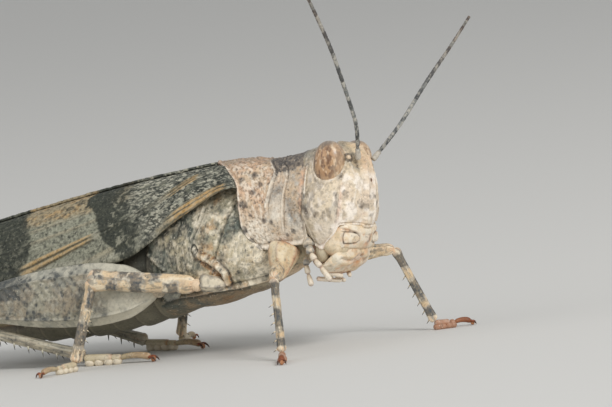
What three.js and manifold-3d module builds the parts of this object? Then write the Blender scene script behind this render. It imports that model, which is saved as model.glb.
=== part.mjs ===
// A sand grasshopper standing alert: +X is forward, +Y is its left side, +Z is up, in millimetres.
// The origin is on the floor, under the middle of the whole animal.
import * as THREE from 'three';
import { mergeVertices } from 'three/addons/utils/BufferGeometryUtils.js';
import Module from 'manifold-3d';

const wasm = await Module();
wasm.setup();

const LEFT = 1;
const RIGHT = -1;
const SIDES = [[RIGHT, 'right'], [LEFT, 'left']];
const seamGap = 0.05; // clear space between neighbouring plates
const plateThickness = 0.5; // tegmina and hindwings
const weldSize = 0.015; // slivers smaller than this are dropped after a cut

// Heights and lengths along the body, measured from the front edge of the pronotum.
const headFront = 3.28;
const headBack = 0.45;
const headTop = 9.2;
const headHalfWidth = 1.95;
const pronotumFront = 0.95;
const pronotumTip = -4.5;
const pronotumTop = 8.9;
const thoraxFront = 0.3;
const thoraxBack = -6.7;
const abdomenTip = -18.6;
const tegmenFront = -3.0;
const tegmenTip = -23.6;
const hindwingFront = -18.9;
const hindwingTip = -22.7;

const headRoll = THREE.MathUtils.degToRad(-5); // the head leans a little to its left
const neckHeight = 7;
const antennaRadius = 0.26;

const skins = {
  sand: { color: 0xcbb9a2, roughness: 0.75 },
  head: { color: 0xd8c4ae, roughness: 0.6 },
  eye: { color: 0xb58a5a, roughness: 0.25 },
  antenna: { color: 0x6b5f55, roughness: 0.6 },
  palp: { color: 0xe4d3bb, roughness: 0.5 },
  tegmen: { color: 0x8f8574, roughness: 0.7 },
  hindwing: { color: 0xc9cbb8, roughness: 0.5 },
  belly: { color: 0xb9b091, roughness: 0.6 },
  leg: { color: 0xd7bda0, roughness: 0.55 },
  tarsus: { color: 0xd8c79d, roughness: 0.5 },
};

const model = new THREE.Group();

// ---------------------------------------------------------------- helpers

// Smooth value through [station, value] pairs, which never overshoots them.
function along(pairs) {
  const slopes = [];
  for (let i = 0; i + 1 < pairs.length; i++) {
    slopes.push((pairs[i + 1][1] - pairs[i][1]) / (pairs[i + 1][0] - pairs[i][0]));
  }
  const tangents = pairs.map((_, i) => {
    const before = slopes[Math.max(i - 1, 0)];
    const after = slopes[Math.min(i, slopes.length - 1)];
    return before * after <= 0 ? 0 : (2 * before * after) / (before + after);
  });
  return (station) => {
    const last = pairs.length - 1;
    const s = THREE.MathUtils.clamp(station, pairs[0][0], pairs[last][0]);
    let i = 0;
    while (i < last - 1 && s > pairs[i + 1][0]) i++;
    const span = pairs[i + 1][0] - pairs[i][0];
    const t = (s - pairs[i][0]) / span;
    const a = pairs[i][1];
    const b = pairs[i + 1][1];
    const up = t * t * (3 - 2 * t);
    const lead = t * (1 - t) * (1 - t) * span * tangents[i];
    const trail = t * t * (t - 1) * span * tangents[i + 1];
    return a + (b - a) * up + lead + trail;
  };
}

// Power that keeps the sign, for rounded-square outlines.
function signedPower(value, power) {
  return Math.sign(value) * Math.abs(value) ** power;
}

function volumeOf(geometry) {
  const p = geometry.getAttribute('position');
  const index = geometry.getIndex().array;
  const corner = (i) => new THREE.Vector3().fromBufferAttribute(p, index[i]);
  let sum = 0;
  for (let i = 0; i < index.length; i += 3) {
    sum += corner(i).dot(corner(i + 1).cross(corner(i + 2))) / 6;
  }
  return sum;
}

// Closed surface over a row of rings with the same number of points, capped at both ends.
function loft(rings) {
  const count = rings[0].length;
  const middles = [rings[0], rings[rings.length - 1]].map((ring) => {
    return ring.reduce((sum, p) => sum.add(p), new THREE.Vector3()).divideScalar(count);
  });
  const points = [...rings.flat(), ...middles];
  const index = [];
  for (let r = 0; r + 1 < rings.length; r++) {
    for (let i = 0; i < count; i++) {
      const a = r * count + i;
      const b = r * count + ((i + 1) % count);
      index.push(a, b, a + count, b, b + count, a + count);
    }
  }
  const lastRing = (rings.length - 1) * count;
  for (let i = 0; i < count; i++) {
    const next = (i + 1) % count;
    index.push(next, i, points.length - 2);
    index.push(lastRing + i, lastRing + next, points.length - 1);
  }
  const geometry = new THREE.BufferGeometry().setFromPoints(points);
  geometry.setIndex(index);
  if (volumeOf(geometry) < 0) geometry.setIndex(index.reverse());
  return geometry;
}

function solidOf(geometry) {
  geometry.deleteAttribute('normal');
  geometry.deleteAttribute('uv');
  const merged = mergeVertices(geometry, 1e-5);
  const vertProperties = new Float32Array(merged.getAttribute('position').array);
  const triVerts = new Uint32Array(merged.getIndex().array);
  return new wasm.Manifold(new wasm.Mesh({ numProp: 3, vertProperties, triVerts }));
}

function geometryOf(solid) {
  const mesh = solid.getMesh();
  const geometry = new THREE.BufferGeometry();
  geometry.setAttribute('position', new THREE.BufferAttribute(mesh.vertProperties, 3));
  geometry.setIndex(new THREE.BufferAttribute(mesh.triVerts, 1));
  return geometry;
}

// One geometry less others, which are made a little larger by their own functions.
function trimmed(geometry, ...cutters) {
  let solid = solidOf(geometry);
  for (const cutter of cutters) solid = solid.subtract(solidOf(cutter));
  return geometryOf(solid.simplify(weldSize));
}

function addPart(name, geometry, skin) {
  const { color, roughness } = skins[skin];
  const material = new THREE.MeshStandardMaterial({ color, roughness, metalness: 0 });
  const mesh = new THREE.Mesh(geometry, material);
  mesh.name = name;
  model.add(mesh);
  return mesh;
}

// Ring in a plane across the body: widest at the height `wide`, rounded by `power`.
function crossRing({ x, half, top, wide, bottom, power }, count) {
  return Array.from({ length: count }, (_, i) => {
    const angle = (2 * Math.PI * i) / count;
    const reach = Math.sin(angle) > 0 ? top - wide : wide - bottom;
    const y = half * signedPower(Math.cos(angle), 2 / power);
    return new THREE.Vector3(x, y, wide + reach * signedPower(Math.sin(angle), 2 / power));
  });
}

// Limb from one point to another. Each profile entry is [part of the length, depth, thickness].
function limb(from, to, profile, { count = 8, steps = 6, grow = 0 } = {}) {
  const axis = to.clone().sub(from);
  const stretch = grow / axis.length();
  const side = new THREE.Vector3().crossVectors(axis, new THREE.Vector3(0, 0, 1));
  if (side.length() < 0.2 * axis.length()) side.set(0, 1, 0).cross(axis).negate();
  side.normalize();
  const up = new THREE.Vector3().crossVectors(side, axis).normalize();
  const depth = along(profile.map(([t, d]) => [t, d]));
  const thickness = along(profile.map(([t, , w]) => [t, w]));
  const rings = Array.from({ length: steps + 1 }, (_, k) => {
    const t = 0.5 - 0.5 * Math.cos((Math.PI * k) / steps);
    const centre = from.clone().addScaledVector(axis, t * (1 + 2 * stretch) - stretch);
    return Array.from({ length: count }, (_, i) => {
      const angle = (2 * Math.PI * (i + 0.5)) / count;
      const point = centre.clone().addScaledVector(up, (0.5 * depth(t) + grow) * Math.sin(angle));
      return point.addScaledVector(side, (0.5 * thickness(t) + grow) * Math.cos(angle));
    });
  });
  return loft(rings);
}

// Rounded tube through points, with one radius at each.
function tube(points, radii, { count = 8, steps = 12 } = {}) {
  const curve = new THREE.CatmullRomCurve3(points);
  const frames = curve.computeFrenetFrames(steps, false);
  const radius = along(radii.map((r, i) => [i / (radii.length - 1), r]));
  const rings = Array.from({ length: steps + 1 }, (_, k) => {
    const centre = curve.getPointAt(k / steps);
    return Array.from({ length: count }, (_, i) => {
      const angle = (2 * Math.PI * i) / count;
      const reach = radius(k / steps);
      return centre
        .clone()
        .addScaledVector(frames.normals[k], reach * Math.cos(angle))
        .addScaledVector(frames.binormals[k], reach * Math.sin(angle));
    });
  });
  return loft(rings);
}

function place(x, y, z) {
  return new THREE.Vector3(x, y, z);
}

// ---------------------------------------------------------------- head

const faceFront = along([
  [4.7, 2.2], [5.3, 2.98], [6.3, headFront - 0.06], [7.4, headFront], [8.2, 3.2],
  [8.7, 3.0], [9.02, 2.7], [headTop, 2.2],
]);
const occiput = along([
  [4.7, 1.0], [5.3, 0.7], [6.3, 0.5], [7.6, headBack], [8.6, 0.5], [8.98, 0.75], [headTop, 1.5],
]);
const headHalf = along([
  [4.7, 1.45], [5.3, 1.72], [6.2, headHalfWidth], [7.0, 1.88], [7.6, 1.72], [8.0, 1.58],
  [8.6, 1.36], [8.95, 1.1], [9.12, 0.8], [headTop, 0.45],
]);
// Lower edge of the head capsule by the angle from the front of the face, in degrees.
const headEdge = along([[0, 5.32], [35, 5.42], [55, 5.5], [75, 4.92], [100, 4.62], [130, 4.85], [180, 5.8]]);

// Horizontal ring of the head, with the frontal ridge down the middle of the face.
function headPoint(share, angle, grow = 0) {
  const turn = THREE.MathUtils.radToDeg(Math.acos(Math.cos(angle)));
  const low = headEdge(turn);
  const z = low + (headTop - low) * share;
  const middle = (faceFront(z) + occiput(z)) / 2;
  const reach = (faceFront(z) - occiput(z)) / 2 + grow;
  const behind = THREE.MathUtils.smoothstep(turn, 80, 120); // the back is squarer, to fill the pronotum
  const y = (headHalf(z) + grow) * signedPower(Math.sin(angle), 0.9 - 0.5 * behind);
  const ridge = Math.cos(angle) > 0 ? 0.1 * Math.exp(-((y / 0.36) ** 4)) : 0;
  return place(middle + reach * signedPower(Math.cos(angle), 0.95 - 0.35 * behind) + ridge, y, z);
}

function headCapsule() {
  const heights = [0, 0.1, 0.24, 0.38, 0.52, 0.65, 0.77, 0.87, 0.94, 0.98, 1];
  const count = 26;
  return settled(loft(heights.map((share) => {
    return Array.from({ length: count }, (_, i) => headPoint(share, (2 * Math.PI * i) / count));
  })));
}

// Every piece of the head leans with it.
function settled(geometry) {
  return geometry.translate(0, 0, -neckHeight).rotateX(headRoll).translate(0, 0, neckHeight);
}

const eyeCentre = { x: 1.98, y: 1.25, z: 8.44 };
const eyeReach = { x: 0.71, y: 0.58, z: 0.93 };
const eyeDrop = 1.28; // the lower half is longer than the upper

function eyeball(side, grow = 0) {
  const ball = new THREE.SphereGeometry(1, 13, 8);
  ball.rotateX(Math.PI / 2);
  ball.scale(eyeReach.x + grow, eyeReach.y + grow, eyeReach.z + grow);
  const points = ball.getAttribute('position');
  for (let i = 0; i < points.count; i++) {
    if (points.getZ(i) < 0) points.setZ(i, points.getZ(i) * eyeDrop);
  }
  ball.rotateY(0.12);
  return settled(ball.translate(eyeCentre.x, side * eyeCentre.y, eyeCentre.z));
}

// Plates in front of the mouth: rings from the top down, each [z, front, back, half width].
function facePlate(levels, count = 16, grow = 0) {
  return settled(loft(levels.map(([z, front, back, half], level) => {
    const lift = level === 0 ? grow : level === levels.length - 1 ? -grow : 0;
    return Array.from({ length: count }, (_, i) => {
      const angle = (2 * Math.PI * (i + 0.5)) / count;
      const reach = (front - back) / 2 + grow;
      const x = (front + back) / 2 + reach * signedPower(Math.cos(angle), 0.7);
      return place(x, (half + grow) * signedPower(Math.sin(angle), 0.7), z + lift);
    });
  })));
}

const clypeusLevels = [[5.24, 2.98, 2.15, 1.34], [4.9, 2.93, 2.1, 1.4], [4.42, 2.68, 1.95, 1.36]];
const labrumLevels = [
  [4.36, 2.62, 1.7, 1.32], [4.0, 2.44, 1.3, 1.44], [3.62, 2.02, 1.0, 1.34], [3.32, 1.62, 1.0, 1.0],
];
const labiumLevels = [
  [5.2, 1.15, 0.6, 0.75], [4.7, 1.1, 0.35, 1.0], [4.0, 1.0, 0.4, 0.85], [3.6, 0.92, 0.55, 0.5],
];

function mandible(side, grow = 0) {
  const profile = [[0, 0.6, 0.5], [0.3, 1.05, 0.85], [0.7, 1.0, 0.8], [1, 0.6, 0.5]];
  const top = place(2.1, side * 1.2, 5.42);
  return settled(limb(top, place(1.35, side * 1.0, 4.05), profile, { count: 8, steps: 5, grow }));
}

function addHead() {
  const jaws = SIDES.map(([side]) => mandible(side, seamGap));
  const cuts = SIDES.flatMap(([side]) => [eyeball(side, seamGap), antenna(side, 0.04)]);
  cuts.push(facePlate(clypeusLevels, 16, seamGap), facePlate(labiumLevels, 14, seamGap), ...jaws);
  addPart('head', trimmed(headCapsule(), pronotumShell(seamGap), ...cuts), 'head');
  addPart('clypeus', trimmed(facePlate(clypeusLevels), ...jaws), 'head');
  addPart('labrum', trimmed(facePlate(labrumLevels), ...jaws), 'head');
  addPart('labium', trimmed(facePlate(labiumLevels, 14), pronotumShell(seamGap), ...jaws), 'palp');
  for (const [side, word] of SIDES) {
    addPart(`eye_${word}`, eyeball(side), 'eye');
    addPart(`mandible_${word}`, mandible(side), 'head');
    addPart(`maxillary_palp_${word}`, palp(side, maxillaryRoutes[side]), 'palp');
    addPart(`labial_palp_${word}`, palp(side, labialRoutes[side]), 'palp');
    addPart(`antenna_${word}`, antenna(side), 'antenna');
  }
}

// The right palps reach forward and the left ones hang straight down.
const maxillaryRoutes = {
  [RIGHT]: [[0.7, 1.5, 4.75], [0.95, 1.68, 4.3], [1.2, 1.72, 3.85], [1.55, 1.6, 3.2]],
  [LEFT]: [[0.7, 1.5, 4.75], [0.72, 1.64, 4.3], [0.68, 1.66, 3.9], [0.55, 1.5, 3.4]],
};
const labialRoutes = {
  [RIGHT]: [[0.5, 1.05, 3.85], [0.6, 1.25, 3.4], [0.85, 1.35, 2.9]],
  [LEFT]: [[0.5, 1.05, 3.85], [0.45, 1.12, 3.5], [0.4, 1.1, 3.15]],
};

function palp(side, route) {
  const points = route.map(([x, y, z]) => place(x, side * y, z));
  return settled(tube(points, [0.25, 0.27, 0.25], { count: 8, steps: 6 }));
}

// Base on the face, then a gentle bow out to the tip.
const antennaRoutes = {
  [RIGHT]: [
    [3.2, -0.66, 8.42], [3.6, -1.6, 10.3], [3.5, -2.75, 12.7], [2.95, -4.0, 15.7], [2.6, -4.6, 17.1],
  ],
  [LEFT]: [
    [3.2, 0.66, 8.4], [3.9, 1.95, 9.9], [4.5, 3.7, 11.85], [5.05, 5.5, 13.65], [5.35, 6.7, 14.85],
  ],
};

function antenna(side, grow = 0) {
  const points = antennaRoutes[side].map(([x, y, z]) => place(x, y, z));
  const radii = [0.3, antennaRadius, antennaRadius, 0.255, 0.25].map((radius) => radius + grow);
  return settled(tube(points, radii, { count: 8, steps: 9 }));
}

// ---------------------------------------------------------------- pronotum, thorax, abdomen

const saddleHalf = along([[-4.6, 1.95], [-2.6, 2.08], [-1.9, 1.95], [-1.0, 1.78], [0.7, 1.86]]);
const saddleTop = along([[-4.6, 8.8], [-2.5, pronotumTop], [-1.7, 8.8], [-0.9, 8.84], [0.7, 9.06]]);
const saddlePower = along([[-4.6, 2.9], [-2.4, 2.8], [-1.4, 2.3], [0.7, 2.2]]);
// Hind and front edges by the angle above (+) or below (-) the widest level, in degrees.
const saddleHindEdge = along([
  [-90, -1.6], [-60, -1.75], [-40, -2.15], [-20, -2.4], [0, -2.45], [25, -2.5], [49, -3.1],
  [90, pronotumTip],
]);
const saddleFrontEdge = along([
  [-90, 0.68], [-60, 0.7], [0, 0.88], [20, 0.93], [50, pronotumFront], [90, pronotumFront],
]);
const saddleBottom = along([
  [-2.5, 5.3], [-2.1, 4.96], [-1.4, 4.79], [-0.6, 4.93], [0.3, 4.98], [0.7, 5.25],
]);
const saddleWidest = 6.2;

function pronotumShell(grow = 0) {
  const count = 32;
  const shares = [0, 0.05, 0.18, 0.32, 0.42, 0.52, 0.66, 0.82, 0.95, 1];
  return loft(shares.map((share) => {
    return Array.from({ length: count }, (_, i) => {
      const angle = (2 * Math.PI * i) / count;
      const lift = THREE.MathUtils.radToDeg(Math.asin(Math.sin(angle)));
      const front = saddleFrontEdge(lift) + grow;
      const x = front + (saddleHindEdge(lift) - grow - front) * share;
      const above = Math.sin(angle) > 0;
      const power = above ? 2 / saddlePower(x) : 0.3;
      const rim = share === 0 || share === 1 ? 0.06 : 0;
      const reach = above ? saddleTop(x) - saddleWidest : saddleWidest - saddleBottom(x);
      const y = (saddleHalf(x) + grow - rim) * signedPower(Math.cos(angle), power);
      return place(x, y, saddleWidest + (reach + grow - rim) * signedPower(Math.sin(angle), power));
    });
  }));
}

const thoraxHalf = along([[-6.8, 2.32], [-5, 2.5], [-3.5, 2.42], [-2, 2.05], [-0.6, 1.45], [0.4, 1.0]]);
const thoraxBottom = along([[-6.8, 2.1], [-5, 2.32], [-3.5, 2.6], [-2, 3.15], [-0.6, 3.8], [0.4, 4.4]]);
const thoraxTop = along([[-6.8, 7.4], [-4, 8.0], [0.4, 7.8]]);

function thoraxBelly(grow = 0) {
  const stations = [thoraxFront, -0.4, -1.4, -2.4, -3.4, -4.4, -5.5, thoraxBack];
  return loft(stations.map((x) => {
    const tuck = x === thoraxFront || x === thoraxBack ? 0.12 - grow : -grow;
    const bottom = thoraxBottom(x) + tuck;
    const half = thoraxHalf(x) - tuck;
    return crossRing({ x, half, top: thoraxTop(x), wide: 4.6, bottom, power: 2.5 }, 22);
  }));
}

const abdomenHalf = along([
  [abdomenTip, 0.42], [-18.1, 0.75], [-17, 1.1], [-15, 1.4], [-12, 1.68], [-9, 1.95], [-6.8, 2.2],
]);
const abdomenTop = along([
  [abdomenTip, 3.2], [-17.5, 3.9], [-15, 4.85], [-12, 5.65], [-9, 6.4], [-6.8, 6.9],
]);
const abdomenBottom = along([
  [abdomenTip, 2.3], [-18, 1.6], [-16.5, 1.0], [-13, 1.05], [-9.5, 1.42], [-6.8, 1.95],
]);
const abdomenRings = 9;

function abdomenShell() {
  const front = thoraxBack - 0.08;
  const length = abdomenTip + 0.1 - front;
  const rings = [];
  for (let ring = 0; ring < abdomenRings; ring++) {
    for (const part of [0.04, 0.5]) {
      const x = front + (length * (ring + part)) / abdomenRings;
      const pinch = part === 0.5 ? 0 : 0.07;
      rings.push(abdomenRing(x, pinch));
    }
  }
  rings.push(abdomenRing(abdomenTip + 0.1, 0.05), abdomenRing(abdomenTip, 0.2));
  return loft(rings);
}

function abdomenRing(x, pinch) {
  const wide = THREE.MathUtils.lerp(abdomenBottom(x), abdomenTop(x), 0.42);
  const half = abdomenHalf(x) - pinch;
  const top = abdomenTop(x) - pinch;
  return crossRing({ x, half, top, wide, bottom: abdomenBottom(x) + pinch, power: 2.1 }, 16);
}

// Two pairs of short hooked valves behind the last ring.
function ovipositor() {
  const front = abdomenTip - 0.06;
  const hook = [[0, 0.5, 0.78], [0.6, 0.41, 0.58], [1, 0.2, 0.3]];
  const upper = limb(place(front, 0, 3.0), place(-20.0, 0, 3.45), hook);
  const lower = limb(place(front, 0, 2.6), place(-19.9, 0, 2.2), hook);
  const heel = [[0, 0.75, 0.8], [1, 0.6, 0.7]];
  const root = limb(place(front, 0, 2.8), place(-19.1, 0, 2.8), heel, { steps: 2 });
  return geometryOf(solidOf(upper).add(solidOf(lower)).add(solidOf(root)).simplify(weldSize));
}

// ---------------------------------------------------------------- wings

const tegmenTop = along([
  [tegmenTip, 5.05], [-23, 5.3], [-20, 6.0], [-16.9, 6.68], [-11.3, 7.72], [-7.2, 8.34], [-3, 8.76],
]);
const tegmenLow = along([
  [tegmenTip, 4.5], [-23, 4.25], [-21, 4.05], [-16, 4.05], [-12, 4.3], [-8.5, 4.8], [-7.3, 5.35],
  [-6.1, 6.1], [-4.5, 6.95], [-3, 7.65],
]);
const tegmenHalf = along([
  [tegmenTip, 0.72], [-23, 1.0], [-21, 1.4], [-16, 1.95], [-12, 2.3], [-9, 2.52], [-6, 2.55], [-3, 2.3],
]);

// Arched plate of one wing: outer face down to the lower edge, then back up the inner face.
function tegmen(side, outer = 0, inner = 0, seam = seamGap / 2) {
  const stations = [
    tegmenFront, -4, -5, -6, -7.2, -8.4, -10.2, -12.4, -14.6, -17, -19.4, -21.4, -22.8, tegmenTip,
  ];
  const steps = 8;
  return loft(stations.map((x) => {
    const ring = [];
    const arch = (half, top, low, share) => {
      const angle = (Math.PI / 2) * share;
      const y = seam + (half - seam) * Math.sin(angle) ** 0.72;
      ring.push(place(x, side * y, low + (top - low) * Math.cos(angle) ** 0.72));
    };
    const half = tegmenHalf(x);
    const low = tegmenLow(x) - Math.max(outer, inner);
    for (let i = 0; i <= steps; i++) {
      arch(half + outer, tegmenTop(x) + outer, low, i / steps);
    }
    for (let i = steps; i >= 0; i--) {
      const top = tegmenTop(x) - plateThickness - inner;
      arch(half - plateThickness - inner, top, low, i / steps);
    }
    return ring;
  }));
}

// Folded hindwing edge, seen between the tegmina behind the end of the abdomen.
function hindwing(side) {
  const stations = [hindwingFront, -20, -21.2, -22.2, hindwingTip];
  return loft(stations.map((x) => {
    const top = tegmenTop(x) - plateThickness - 0.12;
    const low = Math.min(tegmenLow(x) + 0.15, top - 0.3);
    const inner = side * seamGap;
    const outer = side * (seamGap + Math.min(plateThickness, tegmenHalf(x) - 0.65));
    return [place(x, inner, low), place(x, outer, low), place(x, outer, (low + top) / 2),
      place(x, inner, top)];
  }));
}

// ---------------------------------------------------------------- legs

const slimEnds = [0.08, 0.92];

// Rod with rounded ends, deeper than it is thick.
function rod(from, to, depth, thickness, options) {
  return limb(from, to, [[0, 0.55 * depth, 0.55 * thickness], [slimEnds[0], depth, thickness],
    [slimEnds[1], depth, thickness], [1, 0.55 * depth, 0.55 * thickness]], options);
}

// Foot with a flat sole on the floor: pads at the heel, the middle and under the claws.
function foot(heel, toe, size) {
  const axis = toe.clone().sub(heel).setZ(0);
  const side = new THREE.Vector3(-axis.y, axis.x, 0).normalize();
  const pads = [[0, 0.6, 0.6], [0.14, 1, 0.95], [0.34, 1.02, 1], [0.45, 0.8, 0.9], [0.6, 0.95, 0.95],
    [0.8, 0.75, 0.85], [0.9, 1, 1], [1, 0.55, 0.6]];
  const count = 8;
  const rings = pads.map(([t, wide, tall]) => {
    const centre = heel.clone().setZ(0).addScaledVector(axis, t);
    return Array.from({ length: count }, (_, i) => {
      const angle = (2 * Math.PI * (i + 0.5)) / count;
      const z = Math.max(0, size * tall * (0.35 + 0.65 * Math.sin(angle)));
      return centre.clone().addScaledVector(side, 0.5 * size * wide * Math.cos(angle)).setZ(z);
    });
  });
  return loft(rings);
}

// One leg from the hip out to the claws, each joint let into the one before it.
function addLeg(word, joints, shape) {
  const { trochanter, knee, ankle, toe } = joints;
  const inward = -Math.sign(trochanter.y);
  const fromTrochanter = ([x, y, z]) => trochanter.clone().add(place(x, inward * y, z));
  const hip = fromTrochanter(shape.hip);
  const socket = fromTrochanter(shape.socket);
  const coxa = (grow) => limb(hip, socket, shape.coxa, { count: 8, steps: 4, grow });
  const kneeEnd = knee.clone().addScaledVector(knee.clone().sub(trochanter).normalize(), shape.kneeEnd);
  const femur = (grow) => limb(trochanter, kneeEnd, shape.femur, { ...shape.femurMesh, grow });
  const tibia = (grow) => rod(knee, ankle, shape.tibia, shape.tibia, { steps: 5, grow });
  addPart(`coxa_${word}`, trimmed(coxa(0), thoraxBelly(seamGap), pronotumShell(seamGap)), 'leg');
  addPart(`femur_${word}`, trimmed(femur(0), coxa(seamGap)), 'leg');
  addPart(`tibia_${word}`, trimmed(tibia(0), femur(seamGap)), 'leg');
  addPart(`tarsus_${word}`, trimmed(foot(ankle, toe, shape.foot), tibia(0.02)), 'tarsus');
}

// The hip and the socket are measured from the trochanter: forward, inward and up.
const foreShape = {
  hip: [0.25, 0.5, 1.1], socket: [-0.03, -0.15, -0.55],
  coxa: [[0, 1.35, 1.0], [0.25, 1.5, 1.1], [0.5, 1.18, 1.0], [0.78, 0.75, 0.72], [1, 0.5, 0.5]],
  tibia: 0.5, foot: 0.55, kneeEnd: 0,
  femur: [
    [0, 0.5, 0.5], [0.1, 0.7, 0.6], [0.5, 0.74, 0.6], [0.85, 0.55, 0.52], [0.94, 0.58, 0.54], [1, 0.4, 0.4],
  ],
  femurMesh: { count: 8, steps: 6 },
};
const midShape = {
  hip: [1.35, 0.3, -0.1], socket: [0.1, 0.05, 0.12],
  coxa: [[0, 0.5, 0.5], [0.4, 0.7, 0.72], [0.85, 0.8, 0.72], [1, 0.6, 0.6]],
  tibia: 0.52, foot: 0.55, kneeEnd: 0.24,
  femur: [
    [0, 0.55, 0.5], [0.1, 0.85, 0.68], [0.5, 0.9, 0.68], [0.8, 0.88, 0.64], [0.92, 1.0, 0.7], [1, 0.7, 0.5],
  ],
  femurMesh: { count: 8, steps: 6 },
};
const hindShape = {
  hip: [0.75, 0.8, 0.1], socket: [0, 0.1, 0],
  coxa: [[0, 1.1, 0.9], [0.6, 1.25, 0.9], [1, 1.0, 0.9]],
  tibia: 0.56, foot: 0.62, kneeEnd: 0.1,
  femur: [[0, 0.7, 0.6], [0.05, 1.5, 1.0], [0.14, 2.4, 1.25], [0.26, 2.75, 1.3], [0.45, 2.45, 1.15],
    [0.65, 1.6, 0.85], [0.82, 0.98, 0.68], [0.9, 0.95, 0.72], [0.96, 1.1, 0.75], [1, 0.6, 0.45]],
  femurMesh: { count: 12, steps: 12 },
};

function addLegs() {
  addLeg('fore_right', {
    trochanter: place(-0.75, -1.95, 3.95), knee: place(0.5, -4.6, 3.75),
    ankle: place(0.6, -4.75, 0.42), toe: place(1.5, -6.4, 0),
  }, foreShape);
  addLeg('fore_left', {
    trochanter: place(-0.55, 1.95, 3.95), knee: place(2.0, 4.0, 4.0),
    ankle: place(3.0, 5.3, 0.42), toe: place(4.3, 6.7, 0),
  }, foreShape);
  for (const [side, word] of SIDES) {
    addLeg(`mid_${word}`, {
      trochanter: place(-4.75, side * 2.6, 3.45),
      knee: place(-9.3, side * 4.25, 4.1), ankle: place(-10.4, side * 4.7, 0.42),
      toe: place(-11.0, side * 6.9, 0),
    }, midShape);
    addLeg(`hind_${word}`, {
      trochanter: place(-6.75, side * 2.75, 3.4),
      knee: place(-20.3, side * 3.5, 3.05), ankle: place(-11.1, side * 2.75, 0.5),
      toe: place(-7.6, side * 2.2, 0),
    }, hindShape);
  }
}

// ---------------------------------------------------------------- the whole animal

addHead();
addPart('pronotum', pronotumShell(), 'sand');
const wingCuts = SIDES.map(([side]) => tegmen(side, 1.2, seamGap, -0.1));
addPart('thorax', trimmed(thoraxBelly(), pronotumShell(seamGap), ...wingCuts), 'sand');
addPart('abdomen', abdomenShell(), 'belly');
addPart('ovipositor', ovipositor(), 'belly');
for (const [side, word] of SIDES) {
  addPart(`tegmen_${word}`, trimmed(tegmen(side), pronotumShell(seamGap)), 'tegmen');
  addPart(`hindwing_${word}`, hindwing(side), 'hindwing');
}
addLegs();

// Set the model with its origin on the floor under its middle.
const extent = new THREE.Box3().setFromObject(model);
const middle = extent.getCenter(new THREE.Vector3());
model.position.set(-middle.x, -middle.y, -extent.min.z);
model.updateMatrixWorld(true);

export default model;
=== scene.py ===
import math
from functools import partial
from types import SimpleNamespace

import bmesh
import bpy
import numpy as np
from mathutils import Matrix, Vector


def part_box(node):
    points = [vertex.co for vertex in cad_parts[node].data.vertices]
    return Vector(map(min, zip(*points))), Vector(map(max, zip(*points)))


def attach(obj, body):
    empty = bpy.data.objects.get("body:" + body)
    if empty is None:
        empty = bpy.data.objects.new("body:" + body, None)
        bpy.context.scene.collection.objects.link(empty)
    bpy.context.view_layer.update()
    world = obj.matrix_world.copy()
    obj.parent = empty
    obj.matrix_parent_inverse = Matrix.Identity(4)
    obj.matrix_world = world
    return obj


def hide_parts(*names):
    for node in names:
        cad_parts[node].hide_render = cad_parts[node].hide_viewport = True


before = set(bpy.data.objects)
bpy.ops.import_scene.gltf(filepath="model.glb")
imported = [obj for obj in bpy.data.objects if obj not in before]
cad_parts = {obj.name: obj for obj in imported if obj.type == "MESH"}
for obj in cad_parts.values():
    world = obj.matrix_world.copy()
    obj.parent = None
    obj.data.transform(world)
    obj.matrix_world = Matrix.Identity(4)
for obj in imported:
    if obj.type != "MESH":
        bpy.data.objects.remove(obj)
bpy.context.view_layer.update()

# Shapes are worked out in millimetres, as the solids are: +X forward, +Y the animal's left,
# +Z up, with the floor at 0. The pronotum's box says where they stand in the frame.
millimetre = 0.001
pronotumFront = 0.95
saddleLow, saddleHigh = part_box("pronotum")
saddleMiddle = (saddleLow[1] + saddleHigh[1]) / 2
shift = np.array([saddleHigh[0] / millimetre - pronotumFront, saddleMiddle / millimetre, 0])
headRoll = math.radians(-5)  # the head leans a little to its left
neckHeight = 7
rightSide, leftSide = -1, 1
sides = ((rightSide, "Right", "right"), (leftSide, "Left", "left"))


# Curves and noise

def smoothRun(pairs):
    # smooth value through [station, value] pairs, never overshooting them
    xs, ys = np.array(pairs, float).T
    slopes = np.diff(ys) / np.diff(xs)
    before, after = np.append(slopes[0], slopes), np.append(slopes, slopes[-1])
    same = before * after > 0
    tangents = np.where(same, 2 * before * after / np.where(same, before + after, 1), 0)

    def value(station):
        s = np.clip(station, xs[0], xs[-1])
        i = np.clip(np.searchsorted(xs, s) - 1, 0, len(xs) - 2)
        span = xs[i + 1] - xs[i]
        t = (s - xs[i]) / span
        lead = t * (1 - t) ** 2 * span * tangents[i]
        trail = t * t * (t - 1) * span * tangents[i + 1]
        return ys[i] + (ys[i + 1] - ys[i]) * t * t * (3 - 2 * t) + lead + trail
    return value


def smoothStep(t):
    return t * t * (3 - 2 * t)


def signedPower(value, power):
    return np.sign(value) * np.abs(value) ** power


def ease(low, high, value):
    return smoothStep(np.clip((value - low) / (high - low), 0, 1))


def bump(distance, width):
    return np.exp(-((distance / width) ** 2))


def roundBump(first, second, width):
    return bump(np.hypot(first, second), width)


# both noises repeat after a number of cells, and start a number of cells away from the origin
grainCells, grainStart = 32, 1000
pebbleCells, pebbleStart = 24, 960


def grain(points, size, seed=0):
    # smooth noise from 0 to 1, with lumps of about the given size
    table = np.random.default_rng(seed).random((grainCells,) * 3)
    spot = np.atleast_2d(points) / size + grainStart
    cell = np.floor(spot).astype(int)
    part = smoothStep(spot - cell)
    total = 0
    for corner in np.ndindex(2, 2, 2):
        share = np.prod(np.where(corner, part, 1 - part), axis=1)
        i, j, k = ((cell + corner) % grainCells).T
        total = total + share * table[i, j, k]
    return total


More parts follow.
